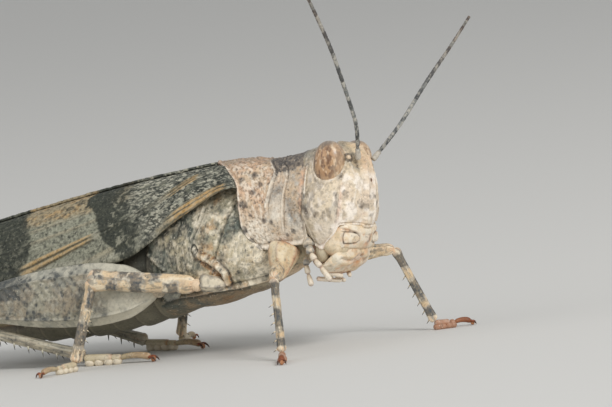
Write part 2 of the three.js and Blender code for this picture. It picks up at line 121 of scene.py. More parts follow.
def fractal(points, size, seed=0):
    # three layers of noise, each half as large as the one before and weaker by the fade
    octaves, fade = 3, 1.7
    total, weight = 0, 0
    for octave in range(octaves):
        total = total + grain(points, size / 2 ** octave, seed + octave) / fade ** octave
        weight += 1 / fade ** octave
    return total / weight


def noise(skin, size, seed, stretch=1):
    return fractal(skin.points * stretch, size, seed)


def mottle(skin, size, seed, low, high, stretch=1):
    # ragged patches, where the noise rises from low to high
    return ease(low, high, noise(skin, size, seed, stretch))


def lumps(skin, height, size, seed, stretch=1):
    # uneven swellings and hollows
    return height * (noise(skin, size, seed, stretch) - 0.5)


def pebbles(points, size, seed=0):
    # distance to the nearest and second nearest scattered point, and that point's own random value
    rng = np.random.default_rng(seed)
    places, values = rng.random((pebbleCells,) * 3 + (3,)), rng.random((pebbleCells,) * 3)
    spot = points / size + pebbleStart
    cell = np.floor(spot).astype(int)
    nearest, second = np.full((2, len(points)), 9.0)
    own = np.zeros(len(points))
    for corner in np.ndindex(3, 3, 3):
        there = cell + np.array(corner) - 1
        i, j, k = (there % pebbleCells).T
        distance = np.linalg.norm(there + places[i, j, k] - spot, axis=1)
        closer = distance < nearest
        second = np.where(closer, nearest, np.minimum(second, distance))
        own = np.where(closer, values[i, j, k], own)
        nearest = np.where(closer, distance, nearest)
    return nearest * size, second * size, own


def dots(skin, size, radius, share, seed):
    # soft round dots of mixed sizes, in a share of the cells
    nearest, _, own = pebbles(skin.points, size, seed)
    reach = radius * (0.55 + 0.9 * own / share)
    return np.where(own < share, 1 - ease(0.55, 1.15, nearest / reach), 0)


def lineDistance(a, b, route):
    # distance from flat points to a line through the route's points
    best = np.full(np.shape(a), 99.0)
    for (a0, b0), (a1, b1) in zip(route, route[1:]):
        da, db = a1 - a0, b1 - b0
        t = np.clip(((a - a0) * da + (b - b0) * db) / (da * da + db * db), 0, 1)
        best = np.minimum(best, np.hypot(a - a0 - t * da, b - b0 - t * db))
    return best


def distanceTo(points, centre):
    return np.linalg.norm(points - np.array(centre), axis=1)


def asColumn(values):
    return np.reshape(values, (-1, 1))


def closedEnds(along, length, rounding):
    # 0 at both ends of a limb, rising to 1 as a round cap does
    near = np.clip(np.minimum(along, 1 - along) * length / rounding, 0, 1)
    return np.sqrt(1 - (1 - near) ** 2)


# Pieces

markNames = ("dark", "warm", "cool", "pale")
weldGap = 2e-4


def settled(points):
    # every piece of the head leans with it
    turned = points - [0, 0, neckHeight]
    turn = np.array(Matrix.Rotation(headRoll, 3, "X"))
    return turned @ turn.T + [0, 0, neckHeight]


def patch(columns, rows, place, relief=None, marks=None, outFrom=None):
    # surface on a grid: its places, how far it stands out, its marks, and a point that it faces away from
    return SimpleNamespace(columns=columns, rows=rows, place=place, relief=relief, marks=marks,
                           outFrom=outFrom)


def readValues(mesh, name):
    values = np.empty(len(mesh.vertices), dtype=np.float32)
    mesh.attributes[name].data.foreach_get("value", values)
    return values.astype(float)


def patchMesh(part, lean):
    bm = bmesh.new()
    bm.loops.layers.uv.new("UVMap")
    bmesh.ops.create_grid(bm, x_segments=part.columns, y_segments=part.rows, size=0.5, calc_uvs=True)
    across, along = bm.verts.layers.float.new("across"), bm.verts.layers.float.new("along")
    shares = np.clip(np.array([vert.co[:2] for vert in bm.verts]) + 0.5, 0, 1)
    spots = part.place(shares[:, 0], shares[:, 1])
    for vert, share, spot in zip(bm.verts, shares.tolist(), spots.tolist()):
        vert[across], vert[along] = share
        vert.co = spot
    bmesh.ops.remove_doubles(bm, verts=bm.verts, dist=weldGap)
    bmesh.ops.recalc_face_normals(bm, faces=bm.faces)
    mesh = bpy.data.meshes.new("patch")
    bm.to_mesh(mesh)
    bm.free()
    count = len(mesh.vertices)
    flat, normals = np.empty(count * 3), np.empty(count * 3)
    mesh.vertices.foreach_get("co", flat)
    mesh.vertex_normals.foreach_get("vector", normals)
    points, normals = flat.reshape(-1, 3), normals.reshape(-1, 3)
    if part.outFrom is not None and np.sum((points - part.outFrom) * normals) < 0:
        mesh.flip_normals()
        normals = -normals
    skin = SimpleNamespace(points=points, x=points[:, 0], y=points[:, 1], z=points[:, 2], normals=normals,
                           across=readValues(mesh, "across"), along=readValues(mesh, "along"))
    moved = points + normals * asColumn(part.relief(skin)) if part.relief else points
    marks = part.marks(skin) if part.marks else {}
    if lean:
        moved = settled(moved)
    mesh.vertices.foreach_set("co", ((moved + shift) * millimetre).ravel())
    for name in markNames:
        values = np.broadcast_to(np.clip(marks.get(name, 0.0), 0, 1), count).astype(np.float32)
        mesh.attributes.new(name, "FLOAT", "POINT").data.foreach_set("value", values)
    return mesh


def makePiece(name, patches, look, stands=(), lean=False, wall=0):
    bm = bmesh.new()
    for part in patches:
        made = patchMesh(part, lean)
        bm.from_mesh(made)
        bpy.data.meshes.remove(made)
    for layer in ("across", "along"):
        bm.verts.layers.float.remove(bm.verts.layers.float[layer])
    mesh = bpy.data.meshes.new(name)
    bm.to_mesh(mesh)
    bm.free()
    mesh.shade_smooth()
    mesh.materials.append(look)
    piece = bpy.data.objects.new(name, mesh)
    bpy.context.collection.objects.link(piece)
    if wall:
        shell = piece.modifiers.new("wall", "SOLIDIFY")
        shell.thickness, shell.offset = wall * millimetre, -1
    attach(piece, "root")
    if stands:
        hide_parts(*stands)
    return piece


# Materials

def linear(code):
    parts = [int(code[i:i + 2], 16) / 255 for i in (0, 2, 4)]
    return [c / 12.92 if c <= 0.04045 else ((c + 0.055) / 1.055) ** 2.4 for c in parts] + [1]


def feed(tree, socket, value):
    if isinstance(value, bpy.types.NodeSocket):
        tree.links.new(value, socket)
    else:
        socket.default_value = value


def addNode(tree, kind, inputs=None, **settings):
    node = tree.nodes.new("ShaderNode" + kind)
    for key, value in settings.items():
        setattr(node, key, value)
    for key, value in (inputs or {}).items():
        feed(tree, node.inputs[key], value)
    return node


def blend(tree, share, first, second):
    mixed = addNode(tree, "Mix", {"Factor": share, 6: first, 7: second}, data_type="RGBA")
    return mixed.outputs[2]


def painted(tree, colour, layers):
    # lays each colour over those before it, by its share
    for share, code in layers:
        colour = blend(tree, share, colour, linear(code))
    return colour


def maths(tree, operation, *values, clamp=False):
    return addNode(tree, "Math", dict(enumerate(values)), operation=operation, use_clamp=clamp).outputs[0]


def arithmetic(tree):
    return [partial(maths, tree, operation) for operation in ("MULTIPLY", "ADD", "SUBTRACT")]


def perSize(tree, size):
    return maths(tree, "DIVIDE", 1.0, size)


def millimetres(tree):
    spot = addNode(tree, "TexCoord").outputs["Object"]
    return addNode(tree, "Mapping", {"Vector": spot, "Scale": (1 / millimetre,) * 3}).outputs[0]


def newGroup(name, inputs, outputs):
    tree = bpy.data.node_groups.new(name, "ShaderNodeTree")
    for label, start in inputs:
        socket = tree.interface.new_socket(label, in_out="INPUT", socket_type="NodeSocketFloat")
        socket.default_value = start
    for label in outputs:
        tree.interface.new_socket(label, in_out="OUTPUT", socket_type="NodeSocketFloat")
    return tree, tree.nodes.new("NodeGroupInput").outputs, tree.nodes.new("NodeGroupOutput").inputs


def speckleGroup():
    # small ragged dots of mixed sizes
    starts = [("Size", 0.2), ("Share", 0.5), ("Ragged", 0.3)]
    tree, given, out = newGroup("speckles", starts, ["Mask"])
    times, plus, minus = arithmetic(tree)
    spot = millimetres(tree)
    wobble = addNode(tree, "TexNoise", {"Vector": spot, "Scale": 9.0, "Detail": 2.0})
    centred = addNode(tree, "VectorMath", {0: wobble.outputs["Color"], 1: (0.5, 0.5, 0.5)},
                      operation="SUBTRACT")
    spread = addNode(tree, "VectorMath", {0: centred.outputs[0], "Scale": 0.25}, operation="SCALE")
    moved = addNode(tree, "VectorMath", {0: spot, 1: spread.outputs[0]}, operation="ADD")
    cells = addNode(tree, "TexVoronoi", {"Vector": moved.outputs[0], "Scale": perSize(tree, given["Size"]),
                                         "Randomness": 1.0})
    own = addNode(tree, "SeparateColor", {0: cells.outputs["Color"]}).outputs[0]
    reach = times(minus(given["Share"], own), 0.9)
    ragged = times(minus(wobble.outputs[0], 0.5), given["Ragged"])
    gap = plus(minus(reach, cells.outputs["Distance"]), ragged)
    tree.links.new(times(gap, 7.0, clamp=True), out["Mask"])
    return tree


def cloudGroup():
    # soft patches with a chosen contrast
    tree, given, out = newGroup("clouds", [("Size", 1.0), ("Contrast", 2.0), ("Level", 0.5)], ["Mask"])
    times, plus, minus = arithmetic(tree)
    cloud = addNode(tree, "TexNoise", {"Vector": millimetres(tree), "Scale": perSize(tree, given["Size"]),
                                       "Detail": 5.0, "Roughness": 0.62})
    lifted = minus(cloud.outputs[0], minus(1.0, given["Level"]))
    tree.links.new(plus(times(lifted, given["Contrast"]), 0.5, clamp=True), out["Mask"])
    return tree


def cuticleGroup():
    # fine pores and wrinkles of the hard skin, and how dull it is there
    starts = [("Pore", 0.06), ("Depth", 1.0), ("Dullness", 0.6)]
    tree, given, out = newGroup("cuticle", starts, ["Height", "Roughness"])
    times, plus, minus = arithmetic(tree)
    spot = millimetres(tree)
    pores = addNode(tree, "TexVoronoi", {"Vector": spot, "Scale": perSize(tree, given["Pore"])},
                    feature="SMOOTH_F1")
    folds = addNode(tree, "TexNoise", {"Vector": spot, "Scale": 11.0, "Detail": 6.0, "Roughness": 0.7})
    height = plus(times(pores.outputs["Distance"], 0.5), folds.outputs[0])
    tree.links.new(times(height, given["Depth"]), out["Height"])
    wear = times(minus(folds.outputs[0], 0.5), 0.35)
    tree.links.new(plus(given["Dullness"], wear, clamp=True), out["Roughness"])
    return tree


groups = {"speckles": speckleGroup(), "clouds": cloudGroup(), "cuticle": cuticleGroup()}


def useGroup(tree, name, **values):
    node = tree.nodes.new("ShaderNodeGroup")
    node.node_tree = groups[name]
    for key, value in values.items():
        node.inputs[key].default_value = value
    return node.outputs


def newLook(name):
    look = bpy.data.materials.new(name)
    look.use_nodes = True
    tree = look.node_tree
    marks = {mark: addNode(tree, "Attribute", attribute_name=mark).outputs["Fac"] for mark in markNames}
    return look, tree, tree.nodes["Principled BSDF"], marks


def cuticleLook(name, base="d8c7b2", second="c9b59c", dark="4c4640", warm="dba98c", rust="a8663a",
                cool="8f9698", pale="eee3d2", dotColour="6a6058", dotSize=0.22, dotShare=0.6,
                dotStrength=0.5, fleck=0.35, pepper=0.4, pepperSize=0.13, scribble=0.0, cloudSize=0.8,
                dullness=0.55, depth=1.0, pore=0.07, shine=0.35):
    look, tree, shader, marks = newLook(name)
    times, plus, minus = arithmetic(tree)
    broad = useGroup(tree, "clouds", Size=cloudSize, Contrast=2.5, Level=0.5)["Mask"]
    fine = useGroup(tree, "clouds", Size=cloudSize * 0.16, Contrast=2.2, Level=0.5)["Mask"]
    speckles = useGroup(tree, "speckles", Size=dotSize, Share=dotShare, Ragged=0.35)["Mask"]
    flecks = useGroup(tree, "speckles", Size=0.11, Share=0.5, Ragged=0.5)["Mask"]
    grit = useGroup(tree, "clouds", Size=pepperSize, Contrast=8.0, Level=0.4)["Mask"]
    # the lower half of the warm mark fades to warm and the upper half on to rust
    toWarm = times(marks["warm"], 2.0, clamp=True)
    toRust = minus(times(marks["warm"], 2.0), 1.0, clamp=True)
    spared = times(speckles, minus(1.0, marks["pale"], clamp=True))
    kept = minus(1.0, times(marks["pale"], 0.6), clamp=True)
    layers = [(times(fine, 0.3), cool), (toWarm, warm), (toRust, rust), (marks["cool"], cool),
              (marks["pale"], pale), (times(spared, dotStrength), dotColour),
              (times(times(grit, pepper), kept), dotColour)]
    if scribble:
        spot = addNode(tree, "Mapping", {"Vector": millimetres(tree), "Scale": (0.42, 1, 1.15)}).outputs[0]
        lines = addNode(tree, "TexNoise", {"Vector": spot, "Scale": 10.5, "Detail": 3.0, "Distortion": 0.5})
        worms = plus(times(minus(lines.outputs[0], 0.5), 14.0), 0.5, clamp=True)
        layers.append((times(times(worms, marks["cool"]), scribble), dark))
    uneven = plus(0.72, times(fine, 0.28))
    layers += [(times(marks["dark"], uneven), dark), (times(flecks, fleck), pale)]
    colour = painted(tree, blend(tree, broad, linear(base), linear(second)), layers)
    tree.links.new(colour, shader.inputs["Base Color"])
    surface = useGroup(tree, "cuticle", Pore=pore, Depth=depth, Dullness=dullness)
    tree.links.new(surface["Roughness"], shader.inputs["Roughness"])
    relief = addNode(tree, "Bump", {"Height": surface["Height"], "Strength": 0.6, "Distance": 0.00003})
    tree.links.new(relief.outputs[0], shader.inputs["Normal"])
    shader.inputs["Specular IOR Level"].default_value = shine
    return look


looks = {
    "head": cuticleLook("headCuticle", base="eed8b9", second="dcc499", dark="5a4f45", warm="efc2a6",
                        rust="a85e36", cool="8a8f8c", pale="fcf1e3", dotColour="857a68", dotSize=0.24,
                        dotShare=0.6, dotStrength=0.38, dullness=0.5, fleck=0.4, pepper=0.45),
    "mouth": cuticleLook("mouthCuticle", base="f8dfbb", second="eac99d", dark="4c3d30", warm="e0a678",
                         rust="8f5530", cool="a0a698", pale="f5ead6", dotColour="8c7a62", dotSize=0.25,
                         dotShare=0.5, dotStrength=0.4, dullness=0.42, fleck=0.25, pepper=0.35),
    "saddle": cuticleLook("saddleCuticle", base="e6ccac", second="d2b592", dark="43403f", warm="dcae8c",
                          rust="9a5c34", cool="828a8e", pale="f1e6d4", dotColour="5b5048", dotSize=0.17,
                          dotShare=0.6, dotStrength=0.6, depth=1.4, dullness=0.6, fleck=0.45, pepper=0.6,
                          pepperSize=0.11),
    "flank": cuticleLook("flankCuticle", base="dccbab", second="bdb090", dark="393c38", warm="cc9c68",
                         rust="8c5029", cool="767d72", pale="f1e6cf", dotColour="4d4b42", dotSize=0.16,
                         dotShare=0.6, dotStrength=0.65, fleck=0.45, pepper=0.5, pepperSize=0.1),
    "wing": cuticleLook("wingCuticle", base="9a9a84", second="868770", dark="232825", warm="c99e5c",
                        rust="a8742e", cool="a3a496", pale="d3cdb8", dotColour="3f3f38", dotSize=0.15,
                        dotShare=0.55, dotStrength=0.55, depth=0.9, fleck=0.2, pepper=0.45, pepperSize=0.12,
                        scribble=0.9, shine=0.25),
    "hindwing": cuticleLook("hindwingMembrane", base="b9bba8", second="acb09e", dotStrength=0.1, depth=0.5),
    "leg": cuticleLook("legCuticle", base="ead4ab", second="d8bc90", dark="38464f", warm="dba983",
                       rust="9a5a30", cool="8f999c", pale="f3e6cb", dotColour="6f6252", dotSize=0.2,
                       dotShare=0.5, dotStrength=0.45, dullness=0.5, fleck=0.3, pepper=0.35),
    "hindLeg": cuticleLook("hindLegCuticle", base="bdb59d", second="a7a08a", dark="3f4446", warm="b08e6c",
                           rust="8a5530", cool="8b9290", pale="cfc9b6", dotColour="494a45", dotSize=0.22,
                           dotShare=0.6, dotStrength=0.5, dullness=0.5, pepper=0.45),
    "tarsus": cuticleLook("tarsusCuticle", base="d2c8a2", second="c0b48c", dark="3a2f28", warm="b98259",
                          rust="864528", dotStrength=0.3, dullness=0.45),
    "palp": cuticleLook("palpCuticle", base="ead8bc", second="dcc6a6", dark="3d3a38", cool="7f8b92",
                        rust="a55c2e", dotStrength=0.3, dullness=0.4, fleck=0.15),
    "feeler": cuticleLook("feelerCuticle", base="9a968b", second="858276", dark="343536", warm="a08068",
                          rust="5d3a2c", pale="cfc9bb", dotStrength=0.35, dotSize=0.1, dullness=0.5,
                          pepper=0.7, pepperSize=0.1),
    "belly": cuticleLook("bellyCuticle", base="a1956f", second="887d5b", dark="3f3a32", warm="94704c",
                         rust="6d4527", cool="777c74", dotColour="55523f", dotSize=0.3, dotShare=0.5,
                         dotStrength=0.4, pale="b5ad94", dullness=0.45),
}


def eyeLook():
    look, tree, shader, marks = newLook("eyeCuticle")
    cloud = useGroup(tree, "clouds", Size=0.35, Contrast=3.0, Level=0.5)["Mask"]
    layers = [(marks["pale"], "e8cfae"), (marks["dark"], "5f4232"), (marks["cool"], "857c72")]
    colour = painted(tree, blend(tree, cloud, linear("c39d76"), linear("a9805c")), layers)
    tree.links.new(colour, shader.inputs["Base Color"])
    facets = addNode(tree, "TexVoronoi", {"Vector": millimetres(tree), "Scale": 30.0}, feature="F1")
    relief = addNode(tree, "Bump", {"Height": facets.outputs["Distance"], "Strength": 0.25,
                                    "Distance": 0.000006}, invert=True)
    tree.links.new(relief.outputs[0], shader.inputs["Normal"])
    for name, value in (("Roughness", 0.38), ("Coat Weight", 0.25), ("Coat Roughness", 0.2)):
        shader.inputs[name].default_value = value
    return look


looks["eye"] = eyeLook()
print("materials ready")


# Head capsule

head = {
    "front": smoothRun([[4.7, 2.2], [5.3, 2.98], [6.3, 3.22], [7.4, 3.28], [8.2, 3.2], [8.7, 2.98],
                        [9.02, 2.66], [9.2, 2.15]]),
    "back": smoothRun([[4.7, 0.9], [5.3, 0.55], [6.3, 0.3], [7.6, 0.25], [8.6, 0.3], [8.98, 0.45],
                       [9.2, 1.3]]),
    "half": smoothRun([[4.7, 1.45], [5.3, 1.72], [6.2, 1.95], [7.0, 1.88], [7.6, 1.72], [8.0, 1.58],
                       [8.6, 1.36], [8.95, 1.1], [9.12, 0.8], [9.2, 0.4]]),
    "edge": smoothRun([[0, 5.44], [35, 5.54], [56, 5.54], [75, 4.94], [100, 4.5], [130, 4.75], [180, 5.8]]),
    "top": 9.2,
    "ridgeHalf": smoothRun([[5.3, 0.44], [7.4, 0.36], [8.5, 0.26], [9.2, 0.22]]),
    "subocular": smoothRun([[5.4, 63], [6.9, 57], [7.9, 52]]),
    "socket": (3.12, 0.66, 8.42),
    "eye": (1.98, 1.25, 8.44),
    "eyeReach": (0.71, 0.58, 0.93),
    "eyeDrop": 1.28,
    "eyePower": 0.9,
    "eyeNarrow": 0.2,
    "eyeTurn": 0.12,
    "eyeMean": 0.78,
    "arcRadius": 1.8,
    "grid": (330, 250),
    "eyeGrid": (220, 150),
    # soft grey-brown blots on the face, as (turn, height, radius)
    "blots": [(49, 6.95, 0.15), (45, 6.78, 0.1), (18, 6.4, 0.2), (11, 6.34, 0.15), (25, 6.5, 0.1),
              (56, 7.75, 0.16), (6, 6.75, 0.1), (2, 5.95, 0.08)],
    "ocellusTurn": 38.5,
    "ocellusHeight": 8.56,
    "ocellusRadius": 0.115,
    "medianOcellus": 7.5,
}


def headRing(turn, z, side):
    # point of the capsule at an angle from the face's middle, in degrees, and a height
    a = np.radians(turn)
    middle = (head["front"](z) + head["back"](z)) / 2
    reach = (head["front"](z) - head["back"](z)) / 2
    behind = ease(80, 120, turn)
    y = head["half"](z) * np.sin(a) ** (0.9 - 0.45 * behind)
    x = middle + reach * signedPower(np.cos(a), 0.95 - 0.3 * behind)
    return np.stack([x, side * y, z + 0 * a], axis=1)


def facePoint(turn, height, side):
    return headRing(np.array([turn]), np.array([height]), side)[0]


def headPlace(across, along):
    lip, crown = 0.04, 0.965
    full = np.clip(np.minimum(along / lip, (1 - along) / (1 - crown)), 0, 1)
    full = np.sqrt(1 - (1 - full) ** 2)
    share = np.clip((along - lip) / (crown - lip), 0, 1)
    angle = 2 * np.pi * across - np.pi
    turn = np.degrees(np.abs(angle))
    low = head["edge"](turn)
    z = low + (head["top"] - low) * share
    points = headRing(turn, z, np.sign(angle))
    middle = (head["front"](z) + head["back"](z)) / 2
    points[:, 0] = middle + (points[:, 0] - middle) * full
    points[:, 1] *= full
    points[:, 2] += np.where(along < lip, 0.25 * (1 - full), 0)
    return points


def eyeGap(skin):
    # distance outside the eyeball, in millimetres
    x, y, z = head["eye"]
    away = np.stack([skin.x - x, np.abs(skin.y) - y, skin.z - z], axis=1)
    c, s = math.cos(head["eyeTurn"]), math.sin(head["eyeTurn"])
    up = away[:, 0] * s + away[:, 2] * c
    ahead = away[:, 0] * c - away[:, 2] * s
    own = np.stack([ahead, away[:, 1], np.where(up < 0, up / head["eyeDrop"], up)], axis=1)
    roundness = 2 / head["eyePower"]
    own = own / np.array(head["eyeReach"])
    own[:, 0] /= 1 - head["eyeNarrow"] * np.clip(-own[:, 2], 0, 1) ** 2
    level = (np.abs(own) ** roundness).sum(axis=1) ** (1 / roundness)
    return (level - 1) * head["eyeMean"]


def headArc(turn):
    return np.radians(turn) * head["arcRadius"]


def headParts(skin):
    turn = np.degrees(np.abs(2 * np.pi * skin.across - np.pi))
    y = np.abs(skin.y)
    folded = np.stack([skin.x, y, skin.z], axis=1)
    ocellus = facePoint(head["ocellusTurn"], head["ocellusHeight"], leftSide)
    arc = headArc(turn)
    return SimpleNamespace(
        turn=turn, y=y, arc=arc, subocular=arc - headArc(head["subocular"](skin.z)),
        eye=eyeGap(skin), ocellus=distanceTo(folded, ocellus), socket=distanceTo(folded, head["socket"]),
        above=skin.z - head["edge"](turn),
        median=np.hypot(y, skin.z - head["medianOcellus"]) + np.where(turn > 60, 9, 0),
        facial=lineDistance(arc, skin.z, [(1.2, 8.2), (1.0, 7.75), (0.9, 7.2), (1.05, 6.4)]),
    )


def headRelief(skin):
    h = headParts(skin)
    half = head["ridgeHalf"](skin.z)
    onFace = ease(75, 50, h.turn)
    raised = 0.12 * (1 - ease(0.75, 1.2, h.y / half)) * onFace
    raised += 0.05 * bump(h.y - 0.82 * half, 0.05) * onFace * ease(5.6, 6.3, skin.z)
    raised -= 0.04 * bump(h.y, 0.15) * onFace * ease(6.0, 6.8, skin.z)
    under = 0.4 + 0.6 * ease(8.7, 8.0, skin.z)
    raised += (0.035 * bump(h.eye - 0.07, 0.045) - 0.02 * bump(h.eye - 0.16, 0.03)) * under
    raised -= 0.3 * ease(0.03, -0.12, h.eye) * ease(9.1, 8.8, skin.z)
    raised -= 0.16 * bump(h.socket, 0.3) - 0.06 * bump(h.socket - 0.4, 0.07)
    raised += 0.04 * bump(h.ocellus - 0.17, 0.045) + 0.03 * bump(h.median - 0.13, 0.04)
    side = ease(5.55, 5.8, skin.z) * ease(8.1, 7.8, skin.z)
    raised += (0.05 * bump(h.subocular - 0.08, 0.07) - 0.06 * bump(h.subocular, 0.05)) * side
    raised += 0.06 * bump(h.facial, 0.06) * ease(6.3, 7.2, skin.z)
    cheek = ease(60, 72, h.turn)
    raised += 0.05 * bump(skin.z - 6.2, 0.7) * bump(h.turn - 35, 14) + 0.06 * bump(skin.z - 6.1, 0.9) * cheek
    raised += (0.05 * bump(h.above - 0.08, 0.06) - 0.03 * bump(h.above - 0.2, 0.05)) * cheek
    raised -= 0.09 * bump(h.above - 0.06, 0.035) * ease(66, 52, h.turn)
    raised += 0.03 * bump(h.turn - 121, 2.6) * ease(8.0, 7.2, skin.z)
    crown = ease(8.9, 9.2, skin.z)
    raised -= 0.06 * crown * bump(h.y, 0.3) * bump(skin.x - 2.5, 0.5)
    raised += 0.03 * crown * bump(h.y - 0.45, 0.1) * ease(1.6, 2.2, skin.x)
    raised += lumps(skin, 0.07, 0.3, 3, [1, 1, 0.45]) * (1 - 0.5 * cheek)
    pits, _, _ = pebbles(skin.points, 0.2, 11)
    raised -= 0.022 * bump(pits, 0.05)
    raised += lumps(skin, 0.04, 0.6, 5)
    return raised * ease(0.0, 0.03, skin.along)


def blots(first, second, ragged, places):
    # soft-edged spots at (first, second, radius) of two flat measures, in millimetres
    gaps = [(np.hypot(first - a, second - b) + 0.14 * ragged) / radius for a, b, radius in places]
    return ease(1.3, 0.5, np.min(gaps, axis=0))


def headMarks(skin):
    h = headParts(skin)
    cheek = ease(-0.05, 0.05, h.subocular)
    rough = noise(skin, 0.5, 21)
    ragged = lumps(skin, 1, 0.16, 27)
    fine = noise(skin, 0.12, 23, [1, 1, 0.6])
    back = ease(104, 116, h.turn + 20 * ragged)
    spots = dots(skin, 0.3, 0.12, 0.8, 31)
    small = dots(skin, 0.19, 0.06, 0.6, 37)
    belt = bump(skin.z - 6.5, 0.95)
    dark = spots * cheek * (0.2 + 0.35 * belt) * (1 - 0.3 * back)
    dark += small * (1 - cheek) * (0.1 + 0.22 * ease(0.35, 0.65, rough)) + 0.2 * ease(0.55, 0.75, fine)
    # dark ring round the ocellus, and painted shadow in the hollow of the antennal socket
    dark += 0.85 * ease(0.2, 0.14, np.abs(h.ocellus - 0.17) + 0.1) + 0.5 * bump(h.socket - 0.1, 0.2)
    dark += 0.22 * bump(h.eye - 0.16, 0.025)
    dark += 0.7 * bump(lineDistance(h.arc, skin.z, [(0.62, 8.2), (0.74, 8.12)]), 0.06)
    dark += 0.3 * bump(h.above - 0.2, 0.05) * cheek * ease(70, 90, h.turn)
    places = [(headArc(turn), z, radius) for turn, z, radius in head["blots"]]
    dark += 0.5 * blots(h.arc, skin.z, ragged, places)
    dark += 0.3 * (1 - cheek) * mottle(skin, 0.15, 57, 0.52, 0.62) * bump(skin.z - 6.5, 0.9)
    drawn = [1, 1, 0.55]
    scrawled = 0.5 * cheek * mottle(skin, 0.24, 59, 0.47, 0.6, drawn) * ease(5.4, 6.0, skin.z)
    dark += scrawled * (0.4 + 0.8 * belt)
    crown = ease(8.35, 8.9, skin.z + ragged) * ease(2.6, 2.1, skin.x) * ease(0.05, 0.3, h.eye)
    dark += crown * (0.15 + 0.6 * dots(skin, 0.2, 0.08, 0.8, 41)) + 0.1 * back * (0.4 + fine)
    cool = 0.5 * bump(h.arc - 0.5, 0.28) * bump(skin.z - 6.38, 0.2) * (0.5 + small)
    cool += 0.45 * cheek * mottle(skin, 0.34, 60, 0.48, 0.66, drawn) * belt + 0.4 * crown
    cool += 0.22 * back * (0.6 + rough)
    cool += 0.5 * bump(h.socket - 0.38, 0.1) * (h.turn > 20)
    cool += 0.3 * bump(h.arc - 0.55, 0.15) * bump(skin.z - 7.4, 0.2)
    cool += 0.3 * bump(h.eye - 0.08, 0.06) * ease(0.45, 0.6, rough)
    onRidge = 1 - ease(0.8, 1.3, h.y / head["ridgeHalf"](skin.z))
    warm = 0.07 * onRidge * ease(75, 60, h.turn) * ease(6, 7, skin.z)
    warm += 0.32 * bump(h.subocular + 0.05, 0.1) * ease(7.6, 6.6, skin.z)
    warm += 0.07 * (1 - cheek) * mottle(skin, 0.7, 56, 0.42, 0.62) * ease(8.3, 7.8, skin.z)
    warm += 1.0 * ease(0.22, 0.08, np.hypot(h.subocular, (skin.z - 5.64) * 1.4))
    warm += 0.14 * (1 - cheek) * ease(0.5, 0.7, fine) * ease(6.6, 6.0, skin.z)
    warm += 0.5 * bump(h.above, 0.05) * cheek
    warm += 0.75 * bump(h.turn - 97, 9) * bump(h.above - 0.12, 0.1) + 0.9 * ease(0.13, 0.06, h.median)
    warm += 0.12 * bump(h.socket - 0.42, 0.16) * ease(20, 10, h.turn)
    pale = 0.25 * bump(h.above - 0.1, 0.08) * cheek + 0.3 * bump(h.turn - 120, 4)
    pale += 0.12 * bump(h.eye - 0.08, 0.04)
    pale += (0.3 + 0.6 * mottle(skin, 0.4, 51, 0.4, 0.6)) * (1 - cheek) * ease(8.2, 7.6, skin.z)
    clear = 0.25 + 0.3 * ease(6.2, 5.4, skin.z) + 0.4 * mottle(skin, 0.22, 53, 0.45, 0.65, [1, 1, 0.6])
    pale += cheek * clear * (1 - back)
    pale += 0.9 * ease(0.1, 0.07, h.ocellus) + 0.35 * bump(h.facial, 0.05)
    return {"dark": dark, "cool": cool, "warm": warm, "pale": pale * (1 - 0.8 * crown)}


def ellipsoid(centre, reach, turn=0.0, columns=48, rows=32, relief=None, marks=None, drop=1.0, power=1.0,
              narrow=0.0):
    # rounded body; its lower half may be longer and narrower, and a power below one squares it
    def place(across, along):
        a, b = 2 * np.pi * across, np.pi * along
        ring = signedPower(np.sin(b), power)
        own = np.stack([signedPower(np.cos(a), power) * ring, signedPower(np.sin(a), power) * ring,
                        -signedPower(np.cos(b), power)], axis=1) * np.array(reach)
        own[:, 0] *= 1 - narrow * np.clip(np.cos(b), 0, 1) ** 2
        own[:, 2] *= np.where(own[:, 2] < 0, drop, 1)
        c, s = math.cos(turn), math.sin(turn)
        x, z = own[:, 0] * c + own[:, 2] * s, own[:, 2] * c - own[:, 0] * s
        return np.stack([x, own[:, 1], z], axis=1) + np.array(centre)
    return patch(columns, rows, place, relief, marks)


def eyeMarks(skin):
    streaked = [1, 1, 0.4]
    lines = noise(skin, 0.1, 61, streaked)
    clumps = noise(skin, 0.16, 63)
    x, _, z = head["eye"]
    across, up = skin.x - x, skin.z - z
    wide, _, tall = head["eyeReach"]
    edge = ease(0.55, 0.95, np.hypot(across / wide, up / tall))
    top = ease(0.45, 0.95, up / tall - 0.3 * across)
    return {
        "dark": 0.75 * ease(0.45, 0.6, 0.55 * lines + 0.45 * clumps) * (1 - 0.5 * edge * ease(0, 0.4, across)),
        "pale": 0.7 * mottle(skin, 0.13, 67, 0.5, 0.64, streaked) + 0.25 * edge,
        "cool": 0.6 * top + 0.3 * edge * clumps + 0.3 * ease(0.3, 0.7, -across) * clumps,
    }


def makeHead():
    shell = patch(*head["grid"], headPlace, headRelief, headMarks)
    makePiece("headCapsule", [shell], looks["head"], ["head"], lean=True)
    for side, word, node in sides:
        x, y, z = head["eye"]
        eye = ellipsoid((x, side * y, z), head["eyeReach"], head["eyeTurn"], *head["eyeGrid"], None, eyeMarks,
                        head["eyeDrop"], head["eyePower"], head["eyeNarrow"])
        makePiece("eye" + word, [eye], looks["eye"], ["eye_" + node], lean=True)
    beads = []
    for side, _, _ in sides:
        spot = facePoint(head["ocellusTurn"], head["ocellusHeight"], side)
        beads.append(ellipsoid(spot, [head["ocellusRadius"]] * 3, 0, 20, 14, None,
                               lambda skin: {"pale": 1.0, "cool": 0.15}))
    front = facePoint(0.0, head["medianOcellus"], leftSide) + [0.07, 0, 0]
    beads.append(ellipsoid(front, (0.07, 0.09, 0.09), 0, 16, 12, None, lambda skin: {"dark": 0.8}))
    makePiece("ocelli", beads, looks["eye"], lean=True)


makeHead()
print("head capsule and eyes ready")


# Mouthparts

